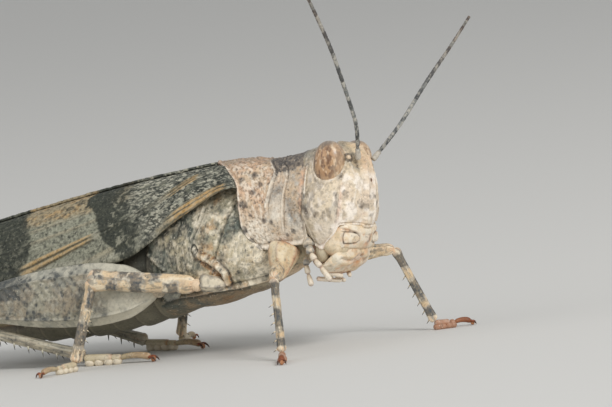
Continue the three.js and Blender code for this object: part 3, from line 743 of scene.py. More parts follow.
mouth = {
    # [height, front, back, half width] from the top down
    "clypeus": [[5.8, 2.78, 2.0, 1.15], [5.5, 2.95, 2.0, 1.4], [5.2, 3.0, 1.95, 1.46], [4.85, 2.93, 1.95,
                                                                                        1.46],
                [4.55, 2.76, 1.9, 1.38], [4.38, 2.56, 1.9, 1.15]],
    "labrum": [[4.66, 2.36, 1.7, 1.1], [4.5, 2.6, 1.4, 1.34], [4.2, 2.56, 1.2, 1.46], [3.85, 2.3, 1.05, 1.48],
               [3.55, 1.9, 0.95, 1.34], [3.32, 1.5, 0.95, 1.02]],
    "labium": [[5.2, 1.15, 0.6, 0.75], [4.7, 1.1, 0.35, 1.0], [4.0, 1.0, 0.4, 0.85], [3.6, 0.95, 0.55, 0.5]],
    "seam": [(1.5, 5.38), (1.2, 5.27), (0.75, 5.12), (0.3, 5.04), (0, 5.02)],
    "sidePlate": [(1.5, 5.22), (1.2, 5.2), (0.8, 5.12), (0.6, 4.98), (0.6, 4.78), (0.78, 4.67), (1.4, 4.68)],
    "plateBack": [(2.62, 5.22), (2.52, 5.0), (2.54, 4.7)],
    "fold": [(0.1, 4.16), (0.5, 3.96), (0.85, 3.94), (1.2, 4.02)],
    "jawTop": (2.2, 1.06, 5.75),
    "jawTip": (1.8, 1.08, 4.12),
    "stipes": (1.26, 1.12, 4.44),
    # the right palps reach forward and the left ones hang straight down
    "maxilla": {rightSide: [(0.62, 1.3, 5.05), (0.78, 1.5, 4.7), (0.92, 1.62, 4.36), (1.15, 1.68, 4.06),
                            (1.44, 1.7, 3.74), (1.83, 1.58, 3.1)],
                leftSide: [(0.62, 1.3, 5.05), (0.7, 1.48, 4.72), (0.72, 1.6, 4.4), (0.72, 1.64, 4.1),
                           (0.68, 1.62, 3.82), (0.55, 1.46, 3.36)]},
    "labialPalp": {rightSide: [(0.35, 1.05, 4.2), (0.42, 1.2, 3.85), (0.52, 1.26, 3.45), (0.68, 1.3, 2.92)],
                   leftSide: [(0.35, 1.0, 4.2), (0.4, 1.06, 3.9), (0.4, 1.06, 3.55), (0.36, 1.02, 3.1)]},
    "bars": [((1.2, 1.2, 3.5), (1.8, 0.3, 3.24)), ((0.75, 0.95, 3.2), (1.62, 0.12, 3.04))],
    "maxillaRadii": [0.25, 0.19, 0.14, 0.13, 0.125],
    "labialRadii": [0.15, 0.13, 0.12],
}


def platePlace(levels, rounding=0.16):
    heights = [level[0] for level in levels]
    front, back, half = (smoothRun(sorted([level[0], level[k]] for level in levels)) for k in (1, 2, 3))

    def place(across, along):
        a = 2 * np.pi * across - np.pi
        z = heights[0] + (heights[-1] - heights[0]) * along
        full = closedEnds(along, heights[0] - heights[-1], rounding)
        middle, reach = (front(z) + back(z)) / 2, (front(z) - back(z)) / 2
        x = middle + reach * signedPower(np.cos(a), 0.7) * full
        return np.stack([x, half(z) * signedPower(np.sin(a), 0.7) * full, z], axis=1)
    return place


def labrumPlace(across, along):
    # the lip slopes down towards the jaws
    points = platePlace(mouth["labrum"], 0.3)(across, along)
    points[:, 2] -= 0.45 * ease(2.4, 1.4, points[:, 0]) * ease(3.6, 4.5, points[:, 2])
    return points


def clypeusLines(skin):
    y = np.abs(skin.y)
    seam, lobe = (lineDistance(y, skin.z, mouth[key]) for key in ("seam", "sidePlate"))
    behind = lineDistance(skin.x, skin.z, mouth["plateBack"]) + 9 * (y < 1)
    return y, seam, np.minimum(lobe + 9 * (skin.x < 2.5), behind)


def clypeusRelief(skin):
    y, seam, lobe = clypeusLines(skin)
    raised = -0.07 * bump(seam, 0.04) * (0.3 + 0.7 * ease(0.6, 1.0, y)) - 0.08 * bump(lobe, 0.035)
    raised += 0.06 * bump(y - 1.2, 0.16) * bump(skin.z - 4.9, 0.18)
    raised += 0.05 * bump(y - 0.3, 0.3) * bump(skin.z - 5.2, 0.15)
    return raised + lumps(skin, 0.06, 0.3, 71) + 0.04 * bump(y, 0.5)


def clypeusMarks(skin):
    y, seam, lobe = clypeusLines(skin)
    streak = lineDistance(skin.y, skin.z, [(0.3, 5.0), (0.2, 4.76)])
    fine = noise(skin, 0.16, 79)
    dark = 0.95 * bump(streak, 0.055) + 0.75 * bump(lobe, 0.035)
    dark += 0.45 * bump(seam, 0.03) * ease(0.5, 1.0, y)
    warm = 0.4 * bump(seam, 0.05) + 0.25 * bump(lobe, 0.09)
    warm += 0.9 * roundBump(skin.y - 0.12, skin.z - 4.78, 0.22)
    return {
        "dark": dark + 0.35 * dots(skin, 0.2, 0.05, 0.5, 73) + 0.06 * fine,
        "warm": warm + 0.2 * mottle(skin, 0.4, 75, 0.5, 0.7),
        "pale": 0.25 + 0.6 * mottle(skin, 0.35, 77, 0.42, 0.62),
    }


def labrumRelief(skin):
    y = np.abs(skin.y)
    front = ease(1.7, 2.1, skin.x)
    fold = lineDistance(y, skin.z, mouth["fold"])
    raised = -0.07 * bump(y, 0.13) * front * ease(4.1, 3.6, skin.z) + 0.06 * bump(y - 0.55, 0.3) * front
    raised += 0.03 * bump(fold - 0.14, 0.08) - 0.045 * bump(fold, 0.06)
    raised -= 0.06 * roundBump(y - 0.15, skin.z - 3.9, 0.2)
    raised += 0.04 * bump(skin.z - 3.5, 0.06)
    return raised + lumps(skin, 0.06, 0.35, 81)


def labrumMarks(skin):
    y = np.abs(skin.y)
    fold = lineDistance(y, skin.z, mouth["fold"])
    rim = ease(3.52, 3.36, skin.z + lumps(skin, 0.1, 0.3, 89))
    side = ease(0.9, 1.3, y)
    return {
        "dark": 0.4 * bump(skin.z - 3.4, 0.04) + 0.3 * bump(fold, 0.03)
        + 0.3 * dots(skin, 0.22, 0.05, 0.45, 83),
        "warm": 0.3 * mottle(skin, 0.45, 85, 0.45, 0.7) + 0.5 * roundBump(y - 0.15, skin.z - 3.9, 0.26)
        + 0.3 * bump(fold, 0.07) + 0.6 * rim * (1 - 0.5 * side),
        "pale": 0.6 * mottle(skin, 0.25, 87, 0.45, 0.62) * (1 - rim) + 0.25 * side,
        "cool": (0.25 + 0.3 * side) * mottle(skin, 0.25, 88, 0.4, 0.65),
    }


def limbPlace(start, end, deep, wide, bow=0.0, rounding=0.25, power=1.0):
    # limb from one joint to the next; its section's first axis points up, or forward on an upright limb
    start, end = np.array(start, float), np.array(end, float)
    axis = end - start
    length = np.linalg.norm(axis)
    side = np.cross(axis, [0, 0, 1.0])
    if np.linalg.norm(side) < 0.2 * length:
        side = -np.cross([0, 1.0, 0], axis)
    side /= np.linalg.norm(side)
    up = np.cross(side, axis / length)
    deepRun, wideRun = smoothRun(deep), smoothRun(wide)

    def place(across, along):
        turn = 2 * np.pi * across
        full = closedEnds(along, length, rounding)
        centre = start + np.outer(along, axis) + np.outer(bow * np.sin(np.pi * along), up)
        lift = 0.5 * deepRun(along) * signedPower(np.sin(turn), power) * full
        reach = 0.5 * wideRun(along) * signedPower(np.cos(turn), power) * full
        return centre + np.outer(lift, up) + np.outer(reach, side)
    return place


def even(size):
    return [[0, size], [1, size]]


def jawMarks(skin):
    cloud = noise(skin, 0.5, 91)
    return {"warm": 0.4 * bump(skin.along - 0.1, 0.12) + 0.4 * ease(0.8, 1, skin.along),
            "dark": 0.5 * ease(0.9, 1, skin.along), "cool": 0.3 * ease(0.45, 0.65, cloud),
            "pale": 0.5 * ease(0.6, 0.4, cloud)}


def palpMarks(first):
    def marks(skin):
        joint = ease(0.16, 0.04, np.minimum(skin.along, 1 - skin.along))
        mottled = noise(skin, 0.2, 93)
        return {"cool": 0.7 * first * ease(0.35, 0.6, mottled) + 0.25 * joint,
                "dark": 0.3 * joint + 0.4 * first * mottled,
                "pale": (1 - 0.6 * first) * 0.6 * ease(0.2, 0.6, skin.along), "warm": 0.4 * joint * (1 - first)}
    return marks


def palpPatches(route, side, radii, greyed):
    # one bulging joint after another, the first ones grey
    made = []
    points = [(x, side * y, z) for x, y, z in route]
    for i, (start, end, radius) in enumerate(zip(points, points[1:], radii)):
        size = [[t, girth * radius] for t, girth in ((0, 1.35), (0.2, 1.7), (0.75, 2.1), (1, 1.7))]
        reach = np.array(end) - np.array(start)
        place = limbPlace(start, np.array(end) + 0.1 * reach, size, size, rounding=0.12)
        made.append(patch(28, 26, place, lambda skin: lumps(skin, 0.03, 0.2, 94), palpMarks(i in greyed)))
    return made


def makeMouth():
    makePiece("clypeusPlate", [patch(150, 60, platePlace(mouth["clypeus"]), clypeusRelief, clypeusMarks)],
              looks["mouth"], ["clypeus"], lean=True)
    makePiece("labrumPlate", [patch(150, 80, labrumPlace, labrumRelief, labrumMarks)],
              looks["mouth"], ["labrum"], lean=True)
    lip = [patch(60, 50, platePlace(mouth["labium"]), None, lambda skin: {"warm": 0.45, "cool": 0.3})]
    for side, _, _ in sides:
        for start, end in mouth["bars"]:
            start, end = ((x, side * y, z) for x, y, z in (start, end))
            size = [[0, 0.22], [0.8, 0.2], [1, 0.16]]
            bar = limbPlace(start, end, size, size, 0, 0.1)
            lip.append(patch(20, 24, bar, None,
                             lambda skin: {"pale": 0.6, "warm": 0.4 * ease(0.3, 0, skin.along)}))
    makePiece("labiumPlate", lip, looks["palp"], ["labium"], lean=True)
    for side, word, node in sides:
        top, tip = ((x, side * y, z) for x, y, z in (mouth["jawTop"], mouth["jawTip"]))
        deep = [[0, 0.9], [0.3, 1.35], [0.7, 1.3], [1, 0.8]]
        wide = [[0, 0.6], [0.3, 0.95], [0.7, 0.92], [1, 0.6]]
        jaw = patch(70, 54, limbPlace(top, tip, deep, wide, rounding=0.4), None, jawMarks)
        x, y, z = mouth["stipes"]
        flap = ellipsoid((x, side * y, z), (0.34, 0.3, 0.52), 0, 40, 30, None,
                         lambda skin: {"dark": 0.25 * noise(skin, 0.2, 90), "cool": 0.45})
        makePiece("mandible" + word, [jaw, flap], looks["mouth"], ["mandible_" + node], lean=True)
        maxilla = palpPatches(mouth["maxilla"][side], side, mouth["maxillaRadii"], (0, 1))
        makePiece("maxilla" + word, maxilla, looks["palp"], ["maxillary_palp_" + node], lean=True)
        labial = palpPatches(mouth["labialPalp"][side], side, mouth["labialRadii"], (0,))
        makePiece("labialPalp" + word, labial, looks["palp"], ["labial_palp_" + node], lean=True)


makeMouth()
print("mouthparts ready")


# Antennae

feelers = {
    rightSide: [(3.14, -0.66, 8.44), (3.6, -1.6, 10.3), (3.5, -2.75, 12.7), (2.95, -4.0, 15.7),
                (2.6, -4.6, 17.1)],
    leftSide: [(3.14, 0.66, 8.4), (3.9, 1.95, 9.9), (4.5, 3.7, 11.85), (5.05, 5.5, 13.65),
               (5.35, 6.7, 14.85)],
    "joints": 25,
    "jointsFrom": 0.07,
    "jointsShare": 0.93,
    "length": 9.3,
    "grid": (20, 420),
    "radius": 0.088,
    "scape": 0.135,
    "pedicel": 0.115,
}


def routePlace(route, radius, length):
    # tube through the route's points
    route = np.array(route, float)
    steps = np.append(0, np.cumsum(np.linalg.norm(np.diff(route, axis=0), axis=1)))
    runs = [smoothRun(list(zip(steps / steps[-1], route[:, k]))) for k in range(3)]

    def centre(t):
        return np.stack([run(t) for run in runs], axis=1)

    def place(across, along):
        ahead = centre(np.clip(along + 0.01, 0, 1)) - centre(np.clip(along - 0.01, 0, 1))
        ahead /= asColumn(np.linalg.norm(ahead, axis=1))
        first = np.cross(ahead, [1.0, 0, 0])
        first /= asColumn(np.linalg.norm(first, axis=1))
        second = np.cross(ahead, first)
        size = radius(along) * closedEnds(along, length, 0.08)
        turn = 2 * np.pi * across
        return centre(along) + asColumn(size * np.cos(turn)) * first + asColumn(size * np.sin(turn)) * second
    return place


def feelerJoint(along):
    # how many joints lie before each place
    return np.clip((along - feelers["jointsFrom"]) / feelers["jointsShare"], 0, 1) * feelers["joints"]


def feelerRadius(along):
    # scape, pedicel, then short joints that are each a little wider at the far end
    t = feelerJoint(along)
    part = t - np.floor(t)
    slim = 1 - 0.16 * bump(part, 0.09) - 0.16 * bump(1 - part, 0.06) + 0.05 * (part - 0.5)
    shaft = feelers["radius"] * slim * (1.06 - 0.3 * ease(0.55, 1, along))
    scape = feelers["scape"] * ease(0.044, 0.034, along)
    pedicel = feelers["pedicel"] * ease(0.064, 0.054, along) * ease(0.03, 0.038, along)
    return np.maximum(shaft, np.maximum(scape, pedicel))


def feelerMarks(skin):
    t = feelerJoint(skin.along)
    own = np.random.default_rng(5).random(feelers["joints"] + 2)[np.floor(t).astype(int)]
    patchy = noise(skin, 0.14, 96, [1, 1, 0.7])
    dark = ease(0.4, 0.62, 0.3 * own + 0.7 * patchy)
    base = ease(0.07, 0.045, skin.along)
    far = ease(0.4, 0.9, skin.along)
    pale = 0.75 * ease(0.5, 0.4, patchy) * (1 - 0.6 * far) * (1 - base) + 0.55 * base
    return {"dark": (0.35 + 0.6 * dark) * (1 - base) + 0.2 * base * patchy,
            "warm": 0.5 * far * own + 0.5 * base,
            "pale": pale + 0.3 * bump(t - np.round(t), 0.06),
            "cool": 0.4 * (1 - far) * (1 - base)}


def makeFeelers():
    for side, word, node in sides:
        place = routePlace(feelers[side], feelerRadius, feelers["length"])
        shaft = patch(*feelers["grid"], place, None, feelerMarks)
        makePiece("antenna" + word, [shaft], looks["feeler"], ["antenna_" + node], lean=True)


makeFeelers()
print("antennae ready")


# Pronotum

saddle = {
    "front": smoothRun([[-60, 0.7], [0, 0.88], [20, 0.93], [50, pronotumFront], [90, pronotumFront]]),
    "half": smoothRun([[-4.6, 1.95], [-2.6, 2.08], [-1.9, 1.95], [-1.0, 1.8], [0.7, 1.86]]),
    "top": smoothRun([[-4.6, 8.78], [-2.5, 8.86], [-1.7, 8.78], [-0.9, 8.84], [0.7, 9.06]]),
    "power": smoothRun([[-4.6, 2.9], [-2.4, 2.8], [-1.4, 2.3], [0.7, 2.2]]),
    "bottom": smoothRun([[-2.5, 5.3], [-2.1, 4.96], [-1.4, 4.76], [-0.6, 4.86], [0.3, 4.9], [0.55, 5.0],
                         [0.7, 5.25]]),
    "hind": smoothRun([[-60, -1.75], [-50, -2.1], [-35, -2.35], [-15, -2.43], [10, -2.46], [25, -2.5],
                       [49, -3.1], [90, -4.5]]),
    "widest": 6.2,
    "lowest": -60,
    "drawnIn": 0.17,
    "wall": 0.14,
    "grid": (300, 130),
    "streak": [(-0.07, 6.9), (0.06, 6.15)],
    # where the cross grooves lie along the body, by the lift round the side
    "frontGroove": smoothRun([[-60, -0.5], [-19, -0.42], [0, -0.37], [15, -0.31], [41, -0.15], [52, -0.26],
                              [62, -0.55], [90, -0.75]]),
    "midGroove": smoothRun([[-60, -0.9], [35, -0.5], [60, -0.62], [90, -1.15]]),
    "hindGroove": smoothRun([[-60, -1.25], [10, -1.15], [25, -0.97], [46, -0.76], [58, -1.0], [72, -1.3],
                             [90, -1.57]]),
    # dark blots on the sides, as (along, height, radius)
    "blots": [(-1.8, 8.15, 0.16), (-2.22, 6.9, 0.2), (-2.32, 5.75, 0.17), (-1.3, 6.1, 0.14),
              (-1.0, 6.0, 0.14), (0.12, 5.55, 0.14), (0.72, 6.28, 0.19), (-1.25, 5.05, 0.11),
              (-0.8, 5.1, 0.1), (-0.25, 5.4, 0.09), (-2.33, 8.0, 0.15), (-1.8, 7.45, 0.15),
              (-2.1, 5.25, 0.14), (-1.8, 4.98, 0.12), (0.85, 7.1, 0.11), (-1.45, 7.75, 0.1),
              (-1.95, 6.4, 0.09)],
    "softBlots": [(0.4, 7.25, 0.14), (-0.55, 7.45, 0.2), (0.62, 6.8, 0.12), (-0.75, 8.0, 0.2),
                  (0.3, 5.9, 0.15)],
}


def saddleSection(lift, x):
    # width and height of the shell at an angle above its widest level; below it the sides hang down
    a = np.radians(np.maximum(lift, 0))
    power = 2 / saddle["power"](x)
    low = np.clip(lift / saddle["lowest"], 0, 1)
    y = saddle["half"](x) * np.cos(a) ** power * (1 - saddle["drawnIn"] * low ** 2)
    up, down = saddle["top"](x) - saddle["widest"], saddle["widest"] - saddle["bottom"](x)
    return y, saddle["widest"] + up * np.sin(a) ** power - down * low


def saddlePlace(across, along):
    lowest = saddle["lowest"]
    way = (2 * across - 1) * (90 - lowest)
    side = np.where(way < 0, -1, 1)
    lift = 90 - np.abs(way)
    x = saddle["front"](lift) + (saddle["hind"](lift) - saddle["front"](lift)) * along
    y, z = saddleSection(lift, x)
    return np.stack([x, side * y, z], axis=1)


def saddleParts(skin):
    lift = 90 - np.abs(2 * skin.across - 1) * (90 - saddle["lowest"])
    return lift, [skin.x - saddle[key](lift) for key in ("frontGroove", "midGroove", "hindGroove")]


def saddleSpots(skin, lift):
    # distances from the front edge, the streak on the side and the middle of the swelling behind it
    streak = lineDistance(skin.x, skin.z, saddle["streak"])
    return saddle["front"](lift) - skin.x, streak, np.hypot((skin.x + 0.75) / 0.8, skin.z - 6.35)


def saddleRelief(skin):
    lift, (front, mid, hind) = saddleParts(skin)
    inside, streak, swelling = saddleSpots(skin, lift)
    hindPart = ease(0.03, -0.05, hind)
    onTop = ease(25, 45, lift)
    raised = (0.035 * bump(front, 0.03) - 0.06 * bump(front - 0.07, 0.045)) * ease(-34, -18, lift)
    raised -= 0.06 * bump(mid, 0.045) * onTop
    raised += 0.05 * hindPart * ease(-5, 15, lift) * ease(60, 45, lift)
    raised += 0.05 * bump(hind + 0.05, 0.04) * ease(-2, 12, lift)
    raised -= 0.06 * bump(hind - 0.06, 0.05) * ease(-2, 12, lift)
    keel = bump(skin.y, 0.07) * (0.07 * hindPart + 0.05 * ease(0.0, 0.3, skin.x))
    shoulder = bump(lift - 57, 3.5) * 0.07 * hindPart * (0.6 + 0.6 * grain(skin.points, 0.4, 99))
    rim = 0.06 * bump(skin.along - 0.985, 0.016) - 0.03 * bump(skin.along - 0.95, 0.014)
    rim += 0.05 * bump(inside - 0.06, 0.05) - 0.035 * bump(inside - 0.2, 0.05)
    above = lift - saddle["lowest"]
    lowRim = 0.06 * bump(above - 3, 3) - 0.04 * bump(above - 10, 3)
    pits, _, own = pebbles(skin.points, 0.13, 101)
    fine, _, _ = pebbles(skin.points, 0.1, 102)
    folds = lumps(skin, 1, 0.12, 103, [1, 1, 0.5])
    strong = 0.35 + 0.65 * hindPart
    raised += keel + shoulder + rim + lowRim
    raised -= (0.04 * bump(pits, 0.04) * (own > 0.3) + 0.012 * bump(fine, 0.03)) * strong
    raised += 0.09 * folds * strong + lumps(skin, 0.06, 0.8, 107)
    raised += 0.09 * bump(swelling, 0.42) - 0.05 * bump(streak, 0.15)
    raised += 0.05 * roundBump(skin.x - 0.3, (skin.z - 7.2) / 1.6, 0.3)
    return raised + 0.05 * roundBump(skin.x + 0.6, skin.z - 7.9, 0.3)


def saddleMarks(skin):
    lift, (frontGap, _, hind) = saddleParts(skin)
    inside, streak, swelling = saddleSpots(skin, lift)
    rough = noise(skin, 0.5, 111)
    ragged = lumps(skin, 1, 0.18, 113)
    fine = noise(skin, 0.13, 114)
    hindPart = ease(0.03, -0.05, hind)
    front = 1 - hindPart
    sideways = ease(62, 54, lift)
    back = front * ease(44, 54, lift + 30 * ragged)
    # the pits of the relief again, painted dark: painted shade in the pits
    pits, _, own = pebbles(skin.points, 0.13, 101)
    pitShade = bump(pits, 0.045) * (own > 0.25)
    dark = back * (0.72 + 0.65 * dots(skin, 0.16, 0.08, 0.85, 115) + 0.5 * (fine - 0.5))
    dark += 0.8 * blots(skin.x, skin.z, ragged, saddle["blots"]) * sideways
    dark += 0.35 * blots(skin.x, skin.z, ragged, saddle["softBlots"]) * sideways
    # painted shade in the pits, heavier higher up the shell
    shade = 0.45 + 0.35 * ease(-40, 30, lift)
    dark += pitShade * hindPart * shade * (0.55 + 0.8 * rough) + 0.2 * pitShade * front * (1 - back)
    dark += 0.1 * dots(skin, 0.26, 0.07, 0.35, 117) * hindPart * (0.4 + rough)
    dark += 0.3 * ease(60, 80, lift) * hindPart
    dark += 0.4 * bump(frontGap - 0.07, 0.03) * ease(-34, -20, lift)
    dark += 0.3 * bump(hind - 0.07, 0.04) * ease(0, 12, lift)
    dark += 0.2 * front * (1 - back) * mottle(skin, 0.3, 119, 0.55, 0.72) * ease(-40, 0, lift)
    cloudy = 0.5 * ease(0.42, 0.62, rough) * ease(-0.3, 0, skin.x)
    cool = front * (1 - back) * (cloudy + 0.45 * bump(streak, 0.16))
    cool += 0.35 * back + 0.2 * hindPart * ease(0.5, 0.7, rough) * ease(10, -30, lift)
    cool += 0.3 * front * ease(0.5, 0.7, fine)
    strip = ease(0.44, 0.26, inside + 0.2 * ragged) * ease(0.06, 0.1, inside) * ease(6.0, 6.7, skin.z)
    strip = strip * ease(8.5, 8.0, skin.z)
    dark += 0.45 * strip * ease(0.5, 0.62, fine)
    warm = 0.4 * strip * (0.6 + 0.6 * rough) + 0.22 * hindPart * ease(-20, 25, lift) * ease(0.3, 0.6, rough)
    warm += 0.55 * bump(skin.along - 0.992, 0.01) + 0.5 * bump(lift - saddle["lowest"], 4)
    warm += 0.1 * front * (1 - back) * roundBump(skin.x + 0.5, skin.z - 7.85, 0.35)
    middle = ease(0.0, -0.05, frontGap) * front * (1 - back)
    cool += 0.4 * middle * ease(8.0, 7.4, skin.z) * ease(6.7, 7.0, skin.z)
    pale = 0.7 * bump(skin.along - 0.985, 0.012) + 0.5 * ease(0.1, 0.04, inside)
    pale += 0.6 * bump(lift - saddle["lowest"] - 4, 4) + 0.5 * bump(frontGap, 0.03) * ease(-34, -20, lift)
    pale += 0.85 * bump(hind + 0.03, 0.05) * ease(4, 14, lift)
    pale += 0.65 * mottle(skin, 0.12, 121, 0.5, 0.62, [1, 1, 0.55]) * hindPart * (1 - pitShade)
    pale += 0.55 * hindPart * ease(12, -25, lift) + 0.25 * front * (1 - back) * ease(0.45, 0.6, fine)
    pale += 0.55 * ease(0, -30, lift) * mottle(skin, 0.25, 123, 0.35, 0.6) * front
    pale += 0.85 * bump(swelling, 0.4) + 0.35 * front * ease(0.5, 0.65, rough)
    pale = pale * (1 - 0.85 * back) * (1 - 0.5 * ease(60, 80, lift))
    return {"dark": dark, "cool": cool * (1 - 0.8 * strip), "warm": warm, "pale": pale}


def neckPlace(across, along):
    turn = 2 * np.pi * across
    lift = np.degrees(np.arcsin(np.sin(turn)))
    reach = np.sin(np.pi / 2 * along)
    y, z = saddleSection(lift, 0.5 + 0 * lift)
    x = 0.48 - 0.25 * reach ** 3
    y, z = y * reach * 0.96, saddle["widest"] + (z - saddle["widest"]) * reach * 0.96
    return np.stack([x, np.where(np.cos(turn) < 0, -1, 1) * y, z], axis=1)


def makeSaddle():
    shell = patch(*saddle["grid"], saddlePlace, saddleRelief, saddleMarks, outFrom=[-1.5, 0, 6.5])
    makePiece("pronotumShell", [shell], looks["saddle"], ["pronotum"], wall=saddle["wall"])
    neck = patch(60, 16, neckPlace, lambda skin: 0.04 * np.sin(skin.across * 250) * skin.along,
                 lambda skin: {"warm": 0.5, "dark": 0.35}, outFrom=[-1, 0, 6.5])
    makePiece("neckSkin", [neck], looks["belly"])


makeSaddle()
print("pronotum ready")


# Thorax

trunk = {
    "half": smoothRun([[-7.7, 2.0], [-6.8, 2.3], [-5, 2.5], [-3.5, 2.4], [-2.4, 2.02], [-1.4, 1.62],
                       [-0.6, 1.3], [0.4, 0.9]]),
    "bottom": smoothRun([[-7.7, 1.85], [-6.8, 2.02], [-5, 2.3], [-3.5, 2.58], [-2, 3.15], [-0.6, 3.8],
                         [0.4, 4.4]]),
    "top": smoothRun([[-7.7, 7.0], [-6.8, 7.4], [-4, 8.0], [0.4, 7.8]]),
    "front": 0.3,
    "back": -7.7,
    "wide": 4.6,
    # seams between the side plates, as (x, z) from the wing down to the leg
    "seams": [[(-2.25, 7.8), (-2.43, 7.5), (-3.04, 6.46), (-3.59, 5.04), (-3.85, 4.4)],
              [(-4.2, 6.9), (-4.4, 6.2), (-4.8, 5.55)], [(-5.5, 6.3), (-5.9, 5.0), (-6.3, 4.0)]],
    "lowSeam": [(-0.4, 3.85), (-0.92, 3.6), (-2.0, 3.34), (-3.3, 3.16), (-4.2, 3.1), (-7.2, 2.75)],
    "ridge": [(-4.65, 4.8), (-4.22, 4.6), (-3.78, 4.33), (-3.43, 3.9), (-3.45, 3.4)],
    "innerRidge": [(-4.45, 4.4), (-4.05, 4.15), (-3.72, 3.75)],
    "prongs": [[(-7.7, 5.1), (-7.15, 4.62), (-6.6, 4.22)], [(-7.35, 4.78), (-6.72, 4.6)]],
    "spiracle": (-4.78, 5.02),
    "grid": (320, 230),
    # where the plate under the pronotum ends, by height
    "plateEnd": smoothRun([[4.4, -3.85], [5.04, -3.59], [6.46, -3.04], [7.5, -2.43], [7.8, -2.25]]),
    "blots": [(-4.6, 4.5, 0.1), (-2.78, 3.9, 0.1), (-5.7, 5.8, 0.3), (-6.1, 5.3, 0.25), (-5.3, 6.2, 0.22),
              (-3.4, 4.6, 0.2), (-2.9, 4.5, 0.12), (-4.2, 5.2, 0.18), (-5.9, 4.6, 0.22), (-3.3, 5.3, 0.1)],
}


def trunkPlace(across, along):
    x = trunk["front"] + (trunk["back"] - trunk["front"]) * along
    turn = 2 * np.pi * across - np.pi / 2
    full = closedEnds(along, trunk["front"] - trunk["back"], 0.25)
    reach = np.where(np.sin(turn) > 0, trunk["top"](x) - trunk["wide"], trunk["wide"] - trunk["bottom"](x))
    y = trunk["half"](x) * signedPower(np.cos(turn), 0.8) * full
    points = np.stack([x, y, trunk["wide"] + reach * signedPower(np.sin(turn), 0.8) * full], axis=1)
    return tuckedUnder(points, 0.9)


def tuckedUnder(points, share):
    # what the pronotum covers stays inside it
    x, y, z = points.T
    p = saddle["power"](x)
    above = z > saddle["widest"]
    high = np.clip((z - saddle["widest"]) / (saddle["top"](x) - saddle["widest"]), 0, 2)
    low = np.clip((saddle["widest"] - z) / (saddle["widest"] - saddle["bottom"](x)), 0, 1.3)
    wide = np.abs(y) / saddle["half"](x)
    out = np.where(above, (wide ** p + high ** p) ** (1 / p), wide / (1 - saddle["drawnIn"] * low ** 2))
    upperLift = np.degrees(np.arctan2(high ** (p / 2), wide ** (p / 2) + 1e-6))
    lift = np.where(above, upperLift, saddle["lowest"] * low)
    covered = ease(-0.12, 0.2, x - saddle["hind"](lift)) * ease(-0.3, 0.05, z - saddle["bottom"](x))
    scale = 1 - covered * (1 - np.minimum(1, share / np.maximum(out, 1e-6)))
    lowered = saddle["widest"] + (z - saddle["widest"]) * scale
    return np.stack([x, y * scale, np.where(above, lowered, z)], axis=1)


def trunkParts(skin):
    seams = [lineDistance(skin.x, skin.z, route) for route in trunk["seams"]]
    low, ridge, inner = (lineDistance(skin.x, skin.z, trunk[key])
                         for key in ("lowSeam", "ridge", "innerRidge"))
    hole = np.hypot((skin.x - trunk["spiracle"][0]) / 0.68, (skin.z - trunk["spiracle"][1]) / 1.15)
    return seams, low, ridge, inner, hole, ease(1.0, 1.4, np.abs(skin.y))


def prongDistance(skin):
    return np.min([lineDistance(skin.x, skin.z, route) for route in trunk["prongs"]], axis=0)


def trunkRelief(skin):
    seams, low, ridge, inner, hole, onSide = trunkParts(skin)
    raised = 0
    for gap, depth in zip(seams, (0.09, 0.03, 0.04)):
        raised = raised - depth * bump(gap, 0.045) + 0.4 * depth * bump(gap - 0.13, 0.06)
    raised += 0.07 * bump(seams[1] - 0.1, 0.06) * (skin.x < -4.3) + 0.1 * bump(low, 0.07)
    raised -= 0.07 * bump(low - 0.14, 0.06)
    raised += 0.2 * bump(ridge, 0.12) - 0.08 * bump(ridge - 0.23, 0.06) - 0.05 * bump(inner, 0.05)
    raised += 0.12 * bump(prongDistance(skin), 0.08)
    raised += 0.14 * ease(0.2, 0.08, hole) + 0.05 * bump(hole - 0.3, 0.05) - 0.07 * bump(hole - 0.23, 0.035)
    striped = ease(0.05, 0.15, skin.x - trunk["plateEnd"](skin.z))
    striped = striped * ease(-2.1, -2.2, skin.x) * ease(5.0, 5.4, skin.z)
    raised += 0.02 * np.sin(skin.z * 70) * striped
    folds = 0.035 * np.sin(skin.x * 22 + 2 * skin.z) * roundBump(skin.x + 5.6, (skin.z - 4.4) / 1.2, 0.6)
    plates = 0.08 * bump(skin.x + 3.95, 0.35) * bump(skin.z - 5.6, 0.9)
    plates += 0.08 * bump(skin.x + 2.6, 0.6) * bump(skin.z - 4.4, 0.45)
    raised += plates + folds * 0.5 + lumps(skin, 0.05, 0.5, 131)
    raised += lumps(skin, 0.025, 0.17, 132)
    pits, _, _ = pebbles(skin.points, 0.2, 133)
    raised -= 0.022 * bump(pits, 0.05)
    belly = ease(3.1, 2.8, skin.z)
    raised += belly * 0.05 * np.cos(skin.x * 2.6)
    ends = ease(0, 0.03, skin.along) * ease(1, 0.97, skin.along)
    return raised * (0.25 + 0.75 * np.maximum(onSide, belly)) * ends


